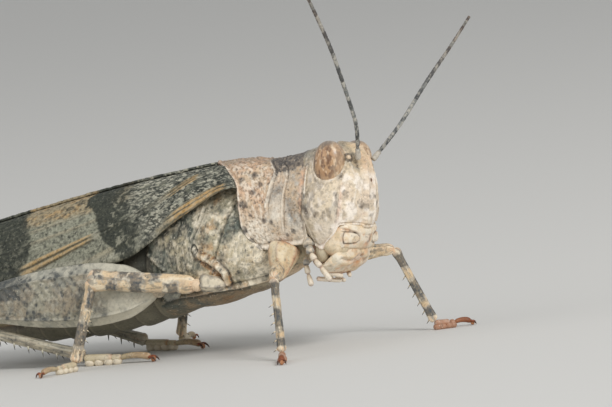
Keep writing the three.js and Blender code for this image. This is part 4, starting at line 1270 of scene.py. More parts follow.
def trunkMarks(skin):
    seams, low, ridge, inner, hole, onSide = trunkParts(skin)
    rough = noise(skin, 0.6, 137)
    ragged = lumps(skin, 1, 0.18, 138)
    fine = noise(skin, 0.14, 136)
    spots = dots(skin, 0.24, 0.075, 0.7, 139)
    ahead = ease(0.0, 0.12, skin.x - trunk["plateEnd"](skin.z)) * ease(5.3, 6.1, skin.z + 0.8 * ragged)
    underSaddle = roundBump((skin.x + 2.2) / 1.3, skin.z - 4.7, 0.75) * (1 - ahead) * onSide
    rear = ease(-4.5, -5.1, skin.x)
    belly = ease(3.15, 2.95, skin.z)
    shaded = mottle(skin, 0.42, 145, 0.47, 0.62)
    dark = 0.45 * spots * (1 - belly) * (1 - 0.6 * ahead) + 0.75 * bump(seams[0], 0.035)
    dark += 0.25 * bump(seams[1], 0.03)
    dark += (0.26 * shaded * (1 - 0.8 * underSaddle) + 0.08 * rear) * onSide * (1 - belly)
    dark += 1.0 * bump(hole - 0.22, 0.04) + 0.45 * bump(low - 0.15, 0.07) + 0.75 * bump(ridge - 0.21, 0.045)
    dark += 0.4 * blots(skin.x, skin.z, ragged, trunk["blots"]) * onSide
    dark += 0.45 * mottle(skin, 0.13, 141, 0.5, 0.6) * rear * (1 - belly) + 0.4 * bump(inner, 0.04)
    # the underside is painted darker: painted shade under the body
    dark += 0.7 * belly * (0.65 + 0.5 * rough) + 0.35 * ahead * ease(0.45, 0.6, fine)
    dark += 0.45 * (1 - belly) * ease(0.55, 0.62, fine) * onSide
    dark += 0.6 * bump(prongDistance(skin) - 0.14, 0.04)
    cool = 0.3 * ease(0.5, 0.66, rough) * onSide + 0.55 * ahead + 0.65 * rear * ease(0.3, 0.55, rough)
    cool += 0.3 * shaded * onSide * (1 - 0.8 * underSaddle)
    cool += 0.3 * roundBump((skin.x + 2.3) / 1.1, (skin.z - 3.55) / 0.3, 0.8)
    warm = 0.4 * bump(ridge, 0.1) + 0.8 * bump(ridge - 0.2, 0.05) + 0.6 * bump(inner - 0.05, 0.06)
    warm += 0.1 * underSaddle * ease(0.45, 0.6, rough) + 0.35 * bump(low, 0.1) + 0.2 * belly
    warm += 0.3 * bump(prongDistance(skin), 0.08)
    warm += 0.3 * mottle(skin, 0.4, 142, 0.5, 0.66) * bump(skin.x + 3.9, 0.8)
    pale = 0.4 * bump(seams[1] - 0.1, 0.05) * (skin.x < -4.3) + 1.2 * ease(0.19, 0.14, hole)
    pale += 0.4 * bump(low, 0.06)
    flecked = onSide * (1 - belly) * (1 - 0.7 * ahead) * (1 - 0.55 * shaded)
    pale += 0.6 * mottle(skin, 0.18, 143, 0.48, 0.62) * flecked
    pale += 0.45 * mottle(skin, 0.5, 144, 0.52, 0.64) * onSide * (1 - belly) * (1 - 0.6 * rear)
    pale += 0.5 * bump(hole - 0.3, 0.04) + 0.5 * bump(ridge, 0.07) + 0.7 * bump(prongDistance(skin), 0.07)
    pale += 0.6 * underSaddle * ease(0.38, 0.52, fine)
    pale = pale * (1 - 0.5 * rear * ease(0.45, 0.6, rough))
    return {"dark": dark, "cool": cool, "warm": warm, "pale": pale}


def makeTrunk():
    plates = patch(*trunk["grid"], trunkPlace, trunkRelief, trunkMarks)
    makePiece("thoraxPlates", [plates], looks["flank"], ["thorax"])


makeTrunk()
print("thorax ready")


# Abdomen

rearEnd = {
    "half": smoothRun([[-18.6, 0.42], [-18.1, 0.75], [-17, 1.1], [-15, 1.4], [-12, 1.68], [-9, 1.95],
                       [-6.6, 2.2]]),
    "top": smoothRun([[-18.6, 3.2], [-17.5, 3.9], [-15, 4.85], [-12, 5.65], [-9, 6.4], [-6.6, 6.9]]),
    "bottom": smoothRun([[-18.6, 2.3], [-18, 1.6], [-16.5, 1.0], [-13, 1.05], [-9.5, 1.42], [-6.6, 2.0]]),
    "front": -6.4,
    "tip": -18.62,
    "rings": 9,
    "grid": (140, 330),
    "capLength": 12.2,
}


def rearPlace(across, along):
    x = rearEnd["front"] + (rearEnd["tip"] - rearEnd["front"]) * along
    turn = 2 * np.pi * across - np.pi / 2
    full = closedEnds(along, rearEnd["capLength"], 0.25)
    low, top = rearEnd["bottom"](x), rearEnd["top"](x)
    wide = low + (top - low) * 0.42
    reach = np.where(np.sin(turn) > 0, top - wide, wide - low)
    y = rearEnd["half"](x) * signedPower(np.cos(turn), 0.95) * full
    return np.stack([x, y, wide + reach * signedPower(np.sin(turn), 0.95) * full], axis=1)


def rearParts(skin):
    # how far through its ring each place is, and how high round the body
    ring = skin.along * rearEnd["rings"]
    return ring - np.floor(ring), np.sin(2 * np.pi * skin.across - np.pi / 2)


def rearRelief(skin):
    part, height = rearParts(skin)
    overlap = 0.09 * ease(0.1, 1.0, part) * ease(1, 0.95, part) - 0.05
    fold = -0.1 * bump(height + 0.42, 0.07)
    wrinkle = lumps(skin, 0.035, 0.4, 151, [0.5, 1, 1])
    return (overlap + fold + wrinkle) * ease(0, 0.02, skin.along)


def rearMarks(skin):
    part, height = rearParts(skin)
    upper = ease(-0.45, -0.3, height)
    spots = dots(skin, 0.38, 0.11, 0.55, 153)
    dark = 0.7 * spots * upper + 0.5 * bump(part - 0.97, 0.04)
    dark += 0.35 * upper * mottle(skin, 0.8, 155, 0.5, 0.7)
    dark += 0.35 * bump(height + 0.42, 0.06) + 0.8 * ease(-10.5, -7.5, skin.x) * upper
    dark += 0.5 * (1 - upper) * (0.5 + grain(skin.points, 0.6, 156))
    return {
        "dark": dark,
        "cool": 0.4 * (1 - upper) + 0.3 * noise(skin, 0.9, 157)
        + 0.7 * ease(-10.5, -8, skin.x) * upper,
        "warm": 0.35 * upper * mottle(skin, 1.2, 159, 0.4, 0.7) + 0.4 * bump(height + 0.42, 0.12),
        "pale": 0.55 * bump(part - 0.87, 0.05) + 0.3 * (1 - upper),
    }


def valveMarks(skin):
    return {"dark": 0.9 * ease(0.6, 0.9, skin.along), "warm": 0.4 + 0.5 * ease(0.3, 0.7, skin.along)}


def makeRear():
    body = patch(*rearEnd["grid"], rearPlace, rearRelief, rearMarks)
    makePiece("abdomenRings", [body], looks["belly"], ["abdomen"])
    valves = []
    for side, _, _ in sides:
        y = side * 0.2
        for root, tip, bow in (((-18.4, y, 3.0), (-20.0, y * 0.8, 3.42), -0.12),
                               ((-18.4, y, 2.6), (-19.9, y * 0.8, 2.22), 0.12)):
            deep, wide = [[0, 0.5], [0.6, 0.4], [1, 0.12]], [[0, 0.42], [0.6, 0.32], [1, 0.1]]
            valves.append(patch(24, 40, limbPlace(root, tip, deep, wide, bow, 0.1), None, valveMarks))
        cercus = limbPlace((-18.2, side * 0.45, 3.1), (-18.95, side * 0.6, 3.2), even(0.26), even(0.24),
                           0, 0.5)
        valves.append(patch(16, 16, cercus, None, lambda skin: {"warm": 0.3}))
    flap = limbPlace((-18.0, 0, 3.3), (-18.95, 0, 3.2), even(0.3), [[0, 0.7], [1, 0.3]], 0, 0.3)
    valves.append(patch(24, 24, flap, None, lambda skin: {"warm": 0.2, "dark": 0.2}))
    makePiece("ovipositorValves", valves, looks["belly"], ["ovipositor"])


makeRear()
print("abdomen ready")


# Wings

wing = {
    "top": smoothRun([[-23.6, 5.05], [-23, 5.3], [-20, 6.0], [-16.9, 6.68], [-11.3, 7.72], [-7.2, 8.34],
                      [-3, 8.76], [-2.2, 8.6]]),
    "low": smoothRun([[-23.6, 4.5], [-23, 4.25], [-21, 4.05], [-16, 4.05], [-12, 4.3], [-8.5, 4.8],
                      [-7.3, 5.35], [-6.1, 6.1], [-4.5, 6.95], [-3, 7.65], [-2.2, 7.8]]),
    "half": smoothRun([[-23.6, 0.72], [-23, 1.0], [-21, 1.4], [-16, 1.95], [-12, 2.3], [-9, 2.52], [-6, 2.55],
                       [-3, 2.3], [-2.2, 1.8]]),
    "front": -2.2,
    "tip": -23.6,
    "wall": 0.12,
    "fanWall": 0.03,
    "grid": (128, 330),
    # each long vein: its share of the way down from the back at stations along the wing, height and width
    "veins": [
        ([[-23.6, 0.99], [-8, 0.985], [-2.2, 0.98]], 0.1, 0.13),
        ([[-15.4, 0.985], [-13.85, 0.92], [-10.3, 0.79], [-8, 0.71], [-6.3, 0.65], [-4.65, 0.45],
          [-2.5, 0.2]], 0.1,
         0.06),
        ([[-14.6, 0.985], [-13.5, 0.95], [-10.3, 0.825], [-8, 0.745], [-6.3, 0.7], [-4.65, 0.52],
          [-2.5, 0.26]],
         0.08, 0.055),
        ([[-11, 0.99], [-9, 0.93], [-7, 0.85], [-5, 0.7], [-2.5, 0.45]], 0.05, 0.07),
        ([[-22.5, 0.9], [-18, 0.84], [-14, 0.74], [-10, 0.64], [-7, 0.52], [-4.6, 0.36]], 0.05, 0.06),
        ([[-23.4, 0.72], [-18, 0.68], [-14, 0.6], [-10, 0.5], [-7, 0.38], [-4, 0.2]], 0.06, 0.07),
        ([[-23.4, 0.5], [-18, 0.5], [-13, 0.44], [-9, 0.34], [-6, 0.24], [-3, 0.12]], 0.05, 0.06),
        ([[-23.4, 0.28], [-17, 0.3], [-12, 0.26], [-8, 0.2], [-3, 0.07]], 0.05, 0.07),
        ([[-19, 0.03], [-14, 0.12], [-9, 0.11], [-3, 0.03]], 0.04, 0.06),
    ],
    "bandRear": smoothRun([[0, -10.85], [0.35, -10.75], [0.6, -10.1], [0.72, -9.9], [0.85, -9.6],
                           [0.95, -8.9], [1, -8.7]]),
    "bandFront": smoothRun([[0, -9.2], [0.5, -8.7], [1, -7.8]]),
    "farFront": smoothRun([[0, -14.8], [0.4, -14.4], [0.75, -14.1], [1, -14.7]]),
    "farRear": -17.2,
}


def wingPlace(side):
    def place(across, along):
        x = wing["front"] + (wing["tip"] - wing["front"]) * along
        a = np.pi / 2 * across
        reach = wing["half"](x)
        inner = -0.35 * ease(-3.2, -4.5, x) * ease(-23.4, -21, x) if side == leftSide else 0.02 + 0 * x
        y = inner + (reach - inner) * np.sin(a) ** 0.72
        z = wing["low"](x) + (wing["top"](x) - wing["low"](x)) * np.cos(a) ** 0.72
        z = z + (0.13 * ease(0.5, 0, across) if side == leftSide else -0.03 * ease(0.3, 0, across))
        return tuckedUnder(np.stack([x, side * y, z], axis=1), 0.9)
    return place


def wingParts(skin):
    x = skin.x
    arc = 1.9 * wing["half"](x)
    cells = np.stack([x / 1.5, skin.across * 5.0, 0 * x], axis=1)
    near, second, own = pebbles(cells, 0.15, 161)
    return arc, second - near, own


def veinLines(skin, arc):
    # for each long vein, the distance across it, 1 along its own length and 0 beyond, its height and width
    for run, height, width in wing["veins"]:
        (rear, _), (front, _) = run[0], run[-1]
        span = ease(rear - 0.1, rear + 0.2, skin.x) * ease(front + 0.1, front - 0.1, skin.x)
        yield (skin.across - smoothRun(run)(skin.x)) * arc, span, height, width


def wingRelief(skin):
    arc, edge, _ = wingParts(skin)
    raised = 0.035 * ease(0.05, 0.0, edge)
    for gap, span, height, width in veinLines(skin, arc):
        raised = np.maximum(raised, height * bump(gap, width) * span)
    soft = lumps(skin, 0.05, 0.7, 163)
    return (raised + soft) * ease(-2.8, -3.4, skin.x)


def wingMarks(skin):
    arc, edge, own = wingParts(skin)
    x, share = skin.x, skin.across
    ragged = lumps(skin, 1, 0.35, 167)
    tiny = noise(skin, 0.12, 169)
    ahead = x - wing["bandFront"](share)
    band = ease(0.15, -0.1, wing["bandRear"](share) + 0.35 * ragged - x) * ease(1.2, -0.9, ahead)
    far = ease(0.5, -0.3, x - wing["farFront"](share) - 0.6 * ragged) * ease(-0.8, 0.8, x - wing["farRear"])
    base = ease(-0.4, 1.2, ahead)
    tipPart = ease(0.5, -0.5, x - wing["farRear"])
    middle = (1 - band) * (1 - far) * (1 - base) * (1 - tipPart)
    chance = 0.9 * band + 0.9 * far + 0.35 * base + 0.28 * tipPart + 0.1
    cloud = noise(skin, 0.38, 171, [0.7, 1, 1])
    patchy = ease(-0.06, 0.06, chance - 0.45 * own - 0.75 * cloud + 0.1)
    dark = patchy * (0.6 + 0.25 * band + 0.3 * (tiny - 0.5)) + 0.62 * band + 0.64 * far + 0.14 * base
    dark += middle * (0.8 * dots(skin, 0.26, 0.055, 0.7, 173) + 0.55 * ease(0.53, 0.62, tiny) + 0.08)
    dark += 0.1 * ease(0.12, 0.0, share) * ease(-12, -10.8, x)
    strip = middle * ease(0.56, 0.46, share + 0.05 * ragged)
    dark += 0.6 * strip * dots(skin, 0.42, 0.15, 0.6, 175)
    warm, pale, lined = 0, 0, 0
    for k, (gap, span, _, width) in enumerate(veinLines(skin, arc)):
        wide = 1 + (1.5 if k == 0 else 2.4) * ease(-7.0, -4.2, x) * (k < 3)
        line = ease(1.9, 1.1, np.abs(gap) / (width * wide)) * span
        if k == 0:
            tint = ease(-7.4, -5.4, x) * ease(-2.7, -3.1, x)
        elif k < 3:
            rearTint = ease(-10.0, -10.6, x) * (1 - far)
            tint = np.maximum(ease(-7.4, -5.4, x) * ease(-4.3, -4.7, x), rearTint)
        else:
            tint = 0.3 * middle
        stripe = ease(0.1, 0.8, np.sin(gap * 27 + 3 * ragged))
        dark = dark * (1 - 0.9 * line * tint) + (0.75 - 0.2 * ease(-5, -4.3, x)) * line * tint * stripe
        warm = np.maximum(warm, (0.36 + 0.22 * ease(-6, -4.8, x)) * line * tint * (1 - 0.6 * stripe))
        lined = np.maximum(lined, line * tint)
        pale = np.maximum(pale, 0.45 * line * (1 - tint) * (1 - 0.85 * band) * (1 - 0.8 * far))
    # the wing's front end, under the pronotum's hind edge, is painted darker: painted shade
    dark += ease(-3.7, -3.2, x) * (0.35 + 0.4 * patchy) + 0.5 * ease(-4.6, -4.0, x) * ease(0.42, 0.3, share)
    warm = np.maximum(warm, 0.26 * strip + 0.26 * strip * ease(0.5, 0.65, cloud))
    cool = 0.9 * base * ease(0.32, 0.56, cloud + 0.3 * tiny) * ease(-9.4, -8.2, x)
    cool = (cool + 0.22 * middle + 0.3 * tipPart) * (1 - 0.9 * lined)
    pale = np.maximum(pale, base * (1 - patchy) * 0.75 * ease(0.35, 0.55, tiny) + 0.2 * middle * tiny)
    pale = pale * (1 - 0.7 * lined) + 0.25 * lined * ease(-7.4, -6, x) * ease(0.5, 0.65, tiny)
    field = noise(skin, 0.17, 177, [0.9, 1, 1])
    blotch = ease(0.54, 0.66, field - 0.05 * band * ease(-8.6, -9.8, x))
    spotted = 0.6 * far + 1.2 * np.maximum(band, base * ease(-5.6, -6.6, x)) * ease(-9.9, -9.2, x)
    pale = np.maximum(pale, 0.42 * blotch * spotted)
    pale = np.maximum(pale, 0.3 * ease(0.04, 0, edge) * (1 - band) * (1 - far))
    return {"dark": dark * (1 - 0.6 * blotch * np.minimum(spotted, 1.2)), "warm": warm,
            "cool": cool, "pale": pale}


pleats = 30


def fanPlace(side):
    # the pleated edge of the folded hindwing, between the tegmina
    def place(across, along):
        x = -17.5 - 5.2 * along
        y = 0.05 + across * np.minimum(0.5, wing["half"](x) - 0.6)
        low = wing["low"](x) + 0.15
        z = low + (wing["top"](x) - wing["low"](x) - 0.7) * (1 - across)
        return np.stack([x, side * (y + 0.06 * np.sin(across * pleats)), z], axis=1)
    return place


def fanMarks(skin):
    return {"dark": 0.4 * bump(np.sin(skin.across * pleats), 0.2)}


def makeWings():
    for side, word, node in sides:
        blade = patch(*wing["grid"], wingPlace(side), wingRelief, wingMarks, outFrom=[-12, 0, 4.5])
        makePiece("tegmen" + word, [blade], looks["wing"], ["tegmen_" + node], wall=wing["wall"])
        fan = patch(40, 60, fanPlace(side), None, fanMarks, outFrom=[-20, 0, 4])
        makePiece("hindwing" + word, [fan], looks["hindwing"], ["hindwing_" + node],
                  wall=wing["fanWall"])


makeWings()
print("wings ready")


# Legs

legs = {
    # marks on the limbs are [share of the way down, reach, lowest, highest side] of each blue-grey patch
    "fore": {
        "thighGrid": (70, 200),
        "root": (0.25, 0.5, 1.1), "tip": (-0.03, -0.15, -0.55), "tibia": 0.43, "foot": 0.5, "rust": 0.75,
             "beyond": 0,
        "block": [[0, 1.42], [0.25, 1.5], [0.5, 1.16], [0.78, 0.72], [1, 0.48]],
        "blockWide": [[0, 1.0], [0.45, 1.05], [1, 0.55]], "knob": 0.3,
        "deep": [[0, 0.5], [0.1, 0.68], [0.5, 0.72], [0.85, 0.52], [0.94, 0.52], [1, 0.4]],
        "wide": [[0, 0.5], [0.1, 0.6], [0.5, 0.6], [0.85, 0.5], [0.94, 0.5], [1, 0.4]],
        "femurMarks": [(0.3, 0.1, -1, 0.2)],
        "tibiaMarks": [(0.155, 0.085, -1.4, 1.4), (0.545, 0.115, -1.4, 1.4), (0.86, 0.05, -1.4, 1.4)],
        "right": {"trochanter": (-0.75, -1.95, 3.95), "knee": (0.5, -4.6, 3.75),
                  "ankle": (0.6, -4.75, 0.42), "toe": (1.5, -6.4, 0)},
        "left": {"trochanter": (-0.55, 1.95, 3.95), "knee": (2.0, 4.0, 4.0),
                 "ankle": (3.0, 5.3, 0.42), "toe": (4.3, 6.7, 0)},
    },
    "mid": {
        "thighGrid": (70, 200),
        "root": (1.35, 0.3, -0.1), "tip": (0.1, 0.05, 0.12), "tibia": 0.5, "foot": 0.52, "rust": 0.08,
            "beyond": 0.24,
        "block": [[0, 0.35], [0.4, 0.7], [0.85, 0.8], [1, 0.6]], "blockWide": [[0, 0.5], [0.5, 0.75],
                                                                               [1, 0.7]],
        "knob": 0.3,
        "deep": [[0, 0.6], [0.1, 0.85], [0.5, 0.9], [0.8, 0.88], [0.92, 1.02], [1, 0.95]],
        "wide": [[0, 0.5], [0.1, 0.68], [0.5, 0.68], [0.85, 0.62], [0.94, 0.72], [1, 0.66]],
        "femurMarks": [(0.22, 0.055, -1.3, 0.1), (0.545, 0.055, -1.3, 0.7), (0.77, 0.04, -1.3, 0.1),
                       (0.9, 0.035, 0.4, 1.3), (0.38, 0.035, 0.45, 1.3), (0.66, 0.035, 0.35, 1.3)],
        "tibiaMarks": [(0.225, 0.1, -1.4, 0.1), (0.66, 0.125, -1.4, 1.4)],
        "right": {"trochanter": (-4.75, -2.6, 3.45), "knee": (-9.3, -4.25, 4.1),
                  "ankle": (-10.4, -4.7, 0.42), "toe": (-11.0, -6.9, 0)},
    },
    "hind": {
        "thighGrid": (180, 420),
        "root": (0.75, 0.8, 0.1), "tip": (0, 0.1, 0), "tibia": 0.5, "foot": 0.6, "rust": 0.08, "beyond": 0.1,
        "block": [[0, 1.1], [0.6, 1.25], [1, 1.0]], "blockWide": [[0, 0.9], [1, 0.9]], "knob": 0.42,
        "deep": [[0, 0.7], [0.05, 1.5], [0.14, 2.4], [0.26, 2.75], [0.45, 2.45], [0.65, 1.6], [0.82, 0.98],
                 [0.9, 0.95], [0.96, 1.1], [1, 0.7]],
        "wide": [[0, 0.6], [0.05, 1.0], [0.14, 1.25], [0.26, 1.3], [0.45, 1.15], [0.65, 0.85], [0.82, 0.68],
                 [0.9, 0.72], [0.96, 0.75], [1, 0.5]],
        "femurBands": [(0.3, 0.09), (0.56, 0.08), (0.79, 0.05)],
        "tibiaMarks": [(0.05, 0.035, -1.4, 1.4), (0.2, 0.05, -1.4, 1.4)],
        "right": {"trochanter": (-6.75, -2.75, 3.4), "knee": (-20.3, -3.5, 3.05),
                  "ankle": (-11.1, -2.75, 0.5), "toe": (-7.6, -2.2, 0)},
    },
}
for word in ("mid", "hind"):
    legs[word]["left"] = {joint: (x, -y, z) for joint, (x, y, z) in legs[word]["right"].items()}
spineRows = {
    "hind": {"count": 10, "length": 0.42, "radius": 0.055, "first": 0.22, "last": 0.93},
    "other": {"count": 6, "length": 0.26, "radius": 0.035, "first": 0.35, "last": 0.95},
}
coxaFacets = (0.75, 1.35, 2.1, 3.4, 4.6)
femurPanel = 0.66


def bandMask(skin, bands, seed):
    ragged = 0.05 * (noise(skin, 0.25, seed) - 0.5)
    turn = 0.03 * np.sin(2 * np.pi * skin.across + seed)
    return sum(ease(reach * 1.25, reach * 0.75, np.abs(skin.along - middle + ragged + turn))
               for middle, reach in bands)


def limbRelief(skin):
    turn = 2 * np.pi * skin.across
    keels = 0.035 * (bump(np.sin(turn / 2 + 0.6), 0.16) + bump(np.sin(turn / 2 + 2.2), 0.16))
    grit, _, _ = pebbles(skin.points, 0.17, 181)
    return keels + lumps(skin, 0.04, 0.3, 183) - 0.012 * bump(grit, 0.045)


def limbPatches(skin, places, seed):
    # patches over part of the limb's length and part of its girth
    ragged = lumps(skin, 1, 0.22, seed)
    height = np.sin(2 * np.pi * skin.across) + 1.6 * ragged
    total = 0
    for middle, reach, low, high in places:
        lengthways = ease(reach * 1.2, reach * 0.85, np.abs(skin.along - middle + 0.09 * ragged))
        sideways = ease(low - 0.12, low + 0.12, height) * ease(high + 0.12, high - 0.12, height)
        total = np.maximum(total, lengthways * sideways)
    return total


def limbMarks(places, seed):
    def marks(skin):
        band = limbPatches(skin, places, seed)
        edge = limbPatches(skin, [(m, r * 1.35, low - 0.3, high + 0.3) for m, r, low, high in places], seed)
        rough = noise(skin, 0.45, seed + 1)
        turn = 2 * np.pi * skin.across
        drawn = np.stack([1.5 * skin.along, 0.4 * np.cos(turn), 0.4 * np.sin(turn)], axis=1)
        fine = fractal(drawn, 0.13, seed + 5)
        small = dots(skin, 0.2, 0.055, 0.5, seed + 2)
        end = np.maximum(ease(0.9, 0.97, skin.along), ease(0.08, 0.02, skin.along))
        dark = band * (0.8 + 0.9 * (fine - 0.4)) + (0.35 * small + 0.55 * ease(0.54, 0.64, fine)) * (1 - band)
        pale = 0.6 * ease(0.5, 0.66, fractal(drawn, 0.2, seed + 3)) + 0.25 * end
        return {"dark": dark, "warm": 0.16 * rough + 0.3 * end, "pale": pale * (1 - band),
                "cool": 0.5 * edge * (1 - band) + 0.15 * ease(0.55, 0.7, rough) * (1 - end)}
    return marks


def facetLine(skin, width):
    turn = 2 * np.pi * skin.across
    line = np.max([bump(turn - centre, width) for centre in coxaFacets], axis=0)
    return line * ease(0.02, 0.12, skin.along)


def coxaRelief(skin):
    return 0.07 * facetLine(skin, 0.16) - 0.03 * facetLine(skin, 0.5) + lumps(skin, 0.07, 0.5, 193)


def coxaMarks(greyed):
    def marks(skin):
        line = facetLine(skin, 0.09)
        rough = noise(skin, 0.3, 195)
        rim = ease(0.1, 0.03, np.minimum(skin.along, 1 - skin.along))
        dark = 0.35 * rim + 0.35 * dots(skin, 0.22, 0.06, 0.45, 197)
        return {"warm": (0.2 * ease(0.5, 0.7, rough) + 0.35 * line + 0.4 * rim) * (1 - 0.6 * greyed),
                "dark": dark + 0.35 * line + 0.4 * greyed * ease(0.45, 0.6, rough),
                "cool": 0.45 * greyed, "pale": 0.5 * ease(0.5, 0.35, rough)}
    return marks


def chevronPhase(skin, level):
    # slanting lines that meet at the middle of the panel on the side
    return skin.along * 28 - 1.3 * np.abs(level) * (1 - 0.2 * skin.along)


def hindFemurRelief(skin):
    turn = 2 * np.pi * skin.across
    height, facing = np.sin(turn), np.abs(np.cos(turn))
    body = ease(0.03, 0.1, skin.along) * ease(0.9, 0.8, skin.along)
    level = height / femurPanel
    inside = ease(1.0, 0.88, np.abs(level))
    chevron = np.cos(2 * np.pi * chevronPhase(skin, level))
    raised = 0.03 * chevron * inside * body * ease(0.04, 0.12, np.abs(level)) * ease(0.12, 0.3, skin.along)
    raised += 0.09 * bump(np.abs(level) - 1.04, 0.07) * body
    raised += (0.1 * bump(height - 1, 0.02) + 0.07 * bump(height + 1, 0.02)) * body
    raised += 0.03 * bump(level, 0.05) * body
    raised -= 0.03 * ease(0.66, 1.0, np.abs(height)) * ease(1.0, 0.9, np.abs(height)) * body
    raised += 0.07 * bump(skin.along - 0.955, 0.018) * facing - 0.06 * bump(skin.along - 0.925, 0.008)
    return raised + lumps(skin, 0.04, 0.35, 201)


def hindFemurMarks(skin):
    level = np.sin(2 * np.pi * skin.across) / femurPanel
    rough = noise(skin, 0.5, 203)
    fine = noise(skin, 0.16, 204)
    band = np.clip(bandMask(skin, legs["hind"]["femurBands"], 205), 0, 1)
    spots = dots(skin, 0.32, 0.09, 0.7, 207) * ease(0.12, 0.32, skin.along)
    plain = ease(0.3, 0.14, skin.along)
    row = bump(np.cos(skin.along * 2 * np.pi * 6.5), 0.35) * bump(level + 1.0, 0.16)
    upperRow = bump(np.cos(skin.along * 2 * np.pi * 9), 0.35) * bump(level - 1.2, 0.14)
    ridge = bump(np.abs(level) - 1.04, 0.07)
    lower, upper = ease(-1.05, -1.2, level), ease(1.05, 1.2, level)
    dark = band * (0.1 + 0.3 * ease(0.45, 0.7, rough)) * (1 - 0.7 * lower) + 0.65 * spots * (1 - 0.85 * lower)
    dark += 0.95 * row + 0.3 * ease(0.52, 0.64, fine) * (1 - lower)
    dark += 0.3 * mottle(skin, 0.28, 209, 0.54, 0.7) * (1 - lower) + 0.6 * bump(skin.along - 0.925, 0.01)
    chevron = bump(np.cos(np.pi * chevronPhase(skin, level)), 0.3)
    dark += 0.16 * chevron * (1 - lower) * (1 - upper) + 0.12 * (1 - lower)
    dark += 0.8 * bump(skin.along - 0.6 + 0.12 * (rough - 0.5), 0.09) * ease(0, 0.5, level)
    warm = 0.14 * mottle(skin, 0.6, 212, 0.5, 0.7) * (1 - lower)
    pale = 0.5 * ridge + 0.4 * lower + 0.6 * upper + 0.7 * plain
    return {"dark": dark * (1 - 0.55 * plain) + 0.9 * upperRow,
            "cool": 0.45 * upper + 0.3 * lower + 0.3 * ease(0.5, 0.68, rough),
            "warm": warm + 0.4 * ease(0.93, 0.97, skin.along),
            "pale": pale + 0.5 * mottle(skin, 0.25, 211, 0.52, 0.66)}


def onFloor(place):
    def clipped(across, along):
        points = place(across, along)
        points[:, 2] = np.maximum(points[:, 2], 0)
        return points
    return clipped


def footPatches(ankle, toe, size, rust):
    # three joints with pads under the first, then two claws with a soft pad between them
    ankle, toe = np.array(ankle, float), np.array(toe, float)
    run = np.array([toe[0] - ankle[0], toe[1] - ankle[1], 0])
    side = np.array([-run[1], run[0], 0]) / np.linalg.norm(run)
    heel = ankle * [1, 1, 0]
    made = []

    def at(share, height, out=0.0):
        return heel + run * share + side * out + [0, 0, height]

    def add(start, end, deep, wide, bow, rounding, marks, columns=24, rows=24):
        place = onFloor(limbPlace(start, end, deep, wide, bow, rounding))
        made.append(patch(columns, rows, place, None, marks))

    def addPad(centre, reach, columns, rows, marks):
        pad = ellipsoid(centre, reach, 0, columns, rows, None, marks)
        pad.place = onFloor(pad.place)
        made.append(pad)

    def joint(skin):
        return {"warm": rust + 0.3 * ease(0.8, 1, skin.along), "pale": 0.4 * grain(skin.points, 0.2, 217),
                "dark": 0.35 * dots(skin, 0.22, 0.06, 0.3, 219)}

    def tip(skin):
        return {"warm": rust + 0.2 * skin.along, "dark": 0.35 * noise(skin, 0.2, 218)}

    def claw(skin):
        return {"warm": 1.0, "dark": ease(0.25, 0.7, skin.along)}

    add(at(-0.02, 0.62 * size), at(0.4, 0.55 * size), even(0.62 * size), even(0.66 * size), 0, 0.2, joint)
    add(at(0.37, 0.54 * size), at(0.52, 0.5 * size), even(0.55 * size), even(0.62 * size), 0, 0.14, joint)
    add(at(0.49, 0.5 * size), at(0.93, 0.42 * size), [[0, 0.4 * size], [1, 0.56 * size]],
        [[0, 0.4 * size], [1, 0.6 * size]], 0.16 * size, 0.16, tip, 24, 36)
    for share, reach in ((0.06, 0.42), (0.19, 0.4), (0.33, 0.46), (0.45, 0.4)):
        addPad(at(share, 0.26 * size), (reach * size, 0.36 * size, 0.34 * size), 24, 16,
               lambda skin: {"pale": 0.6 - 0.6 * rust, "warm": rust})
    for out in (-0.2, 0.2):
        base, point = at(0.9, 0.42 * size, out * size), at(1.02, 0.06 * size, out * 1.9 * size)
        add(base, point, [[0, 0.26 * size], [1, 0.05]], [[0, 0.2 * size], [1, 0.04]], 0.16 * size, 0.08, claw,
            12, 20)
    addPad(at(0.96, 0.24 * size), (0.2 * size, 0.2 * size, 0.22 * size), 20, 14, lambda skin: {"warm": 0.6})
    return made


def spineMarks(skin):
    return {"dark": ease(0.35, 0.65, skin.along), "pale": 0.5 * (skin.along < 0.4)}


def spinePatches(start, end, radius, away, across, rows):
    # a row of thorns on each side of the shin, leaning towards the foot
    start, end = np.array(start, float), np.array(end, float)
    axis = (end - start) / np.linalg.norm(end - start)
    made = []
    count, first, last = rows["count"], rows["first"], rows["last"]
    for k in range(count):
        share = first + (last - first) * k / (count - 1)
        for side in (-1, 1):
            root = start + (end - start) * share + (away * 0.7 + across * side * 0.6) * radius * 0.8
            lean = away * 0.75 + across * side * 0.5 + axis * 0.55
            length = rows["length"]
            if lean[2] < 0:
                length = min(length, max(0.12, root[2] / max(1e-3, -lean[2]) - 0.02))
            size = [[0, 2 * rows["radius"]], [0.5, 1.2 * rows["radius"]], [1, 0.015]]
            place = limbPlace(root, root + lean * length, size, size, 0, 0.03)
            made.append(patch(8, 8, place, None, spineMarks))
    return made


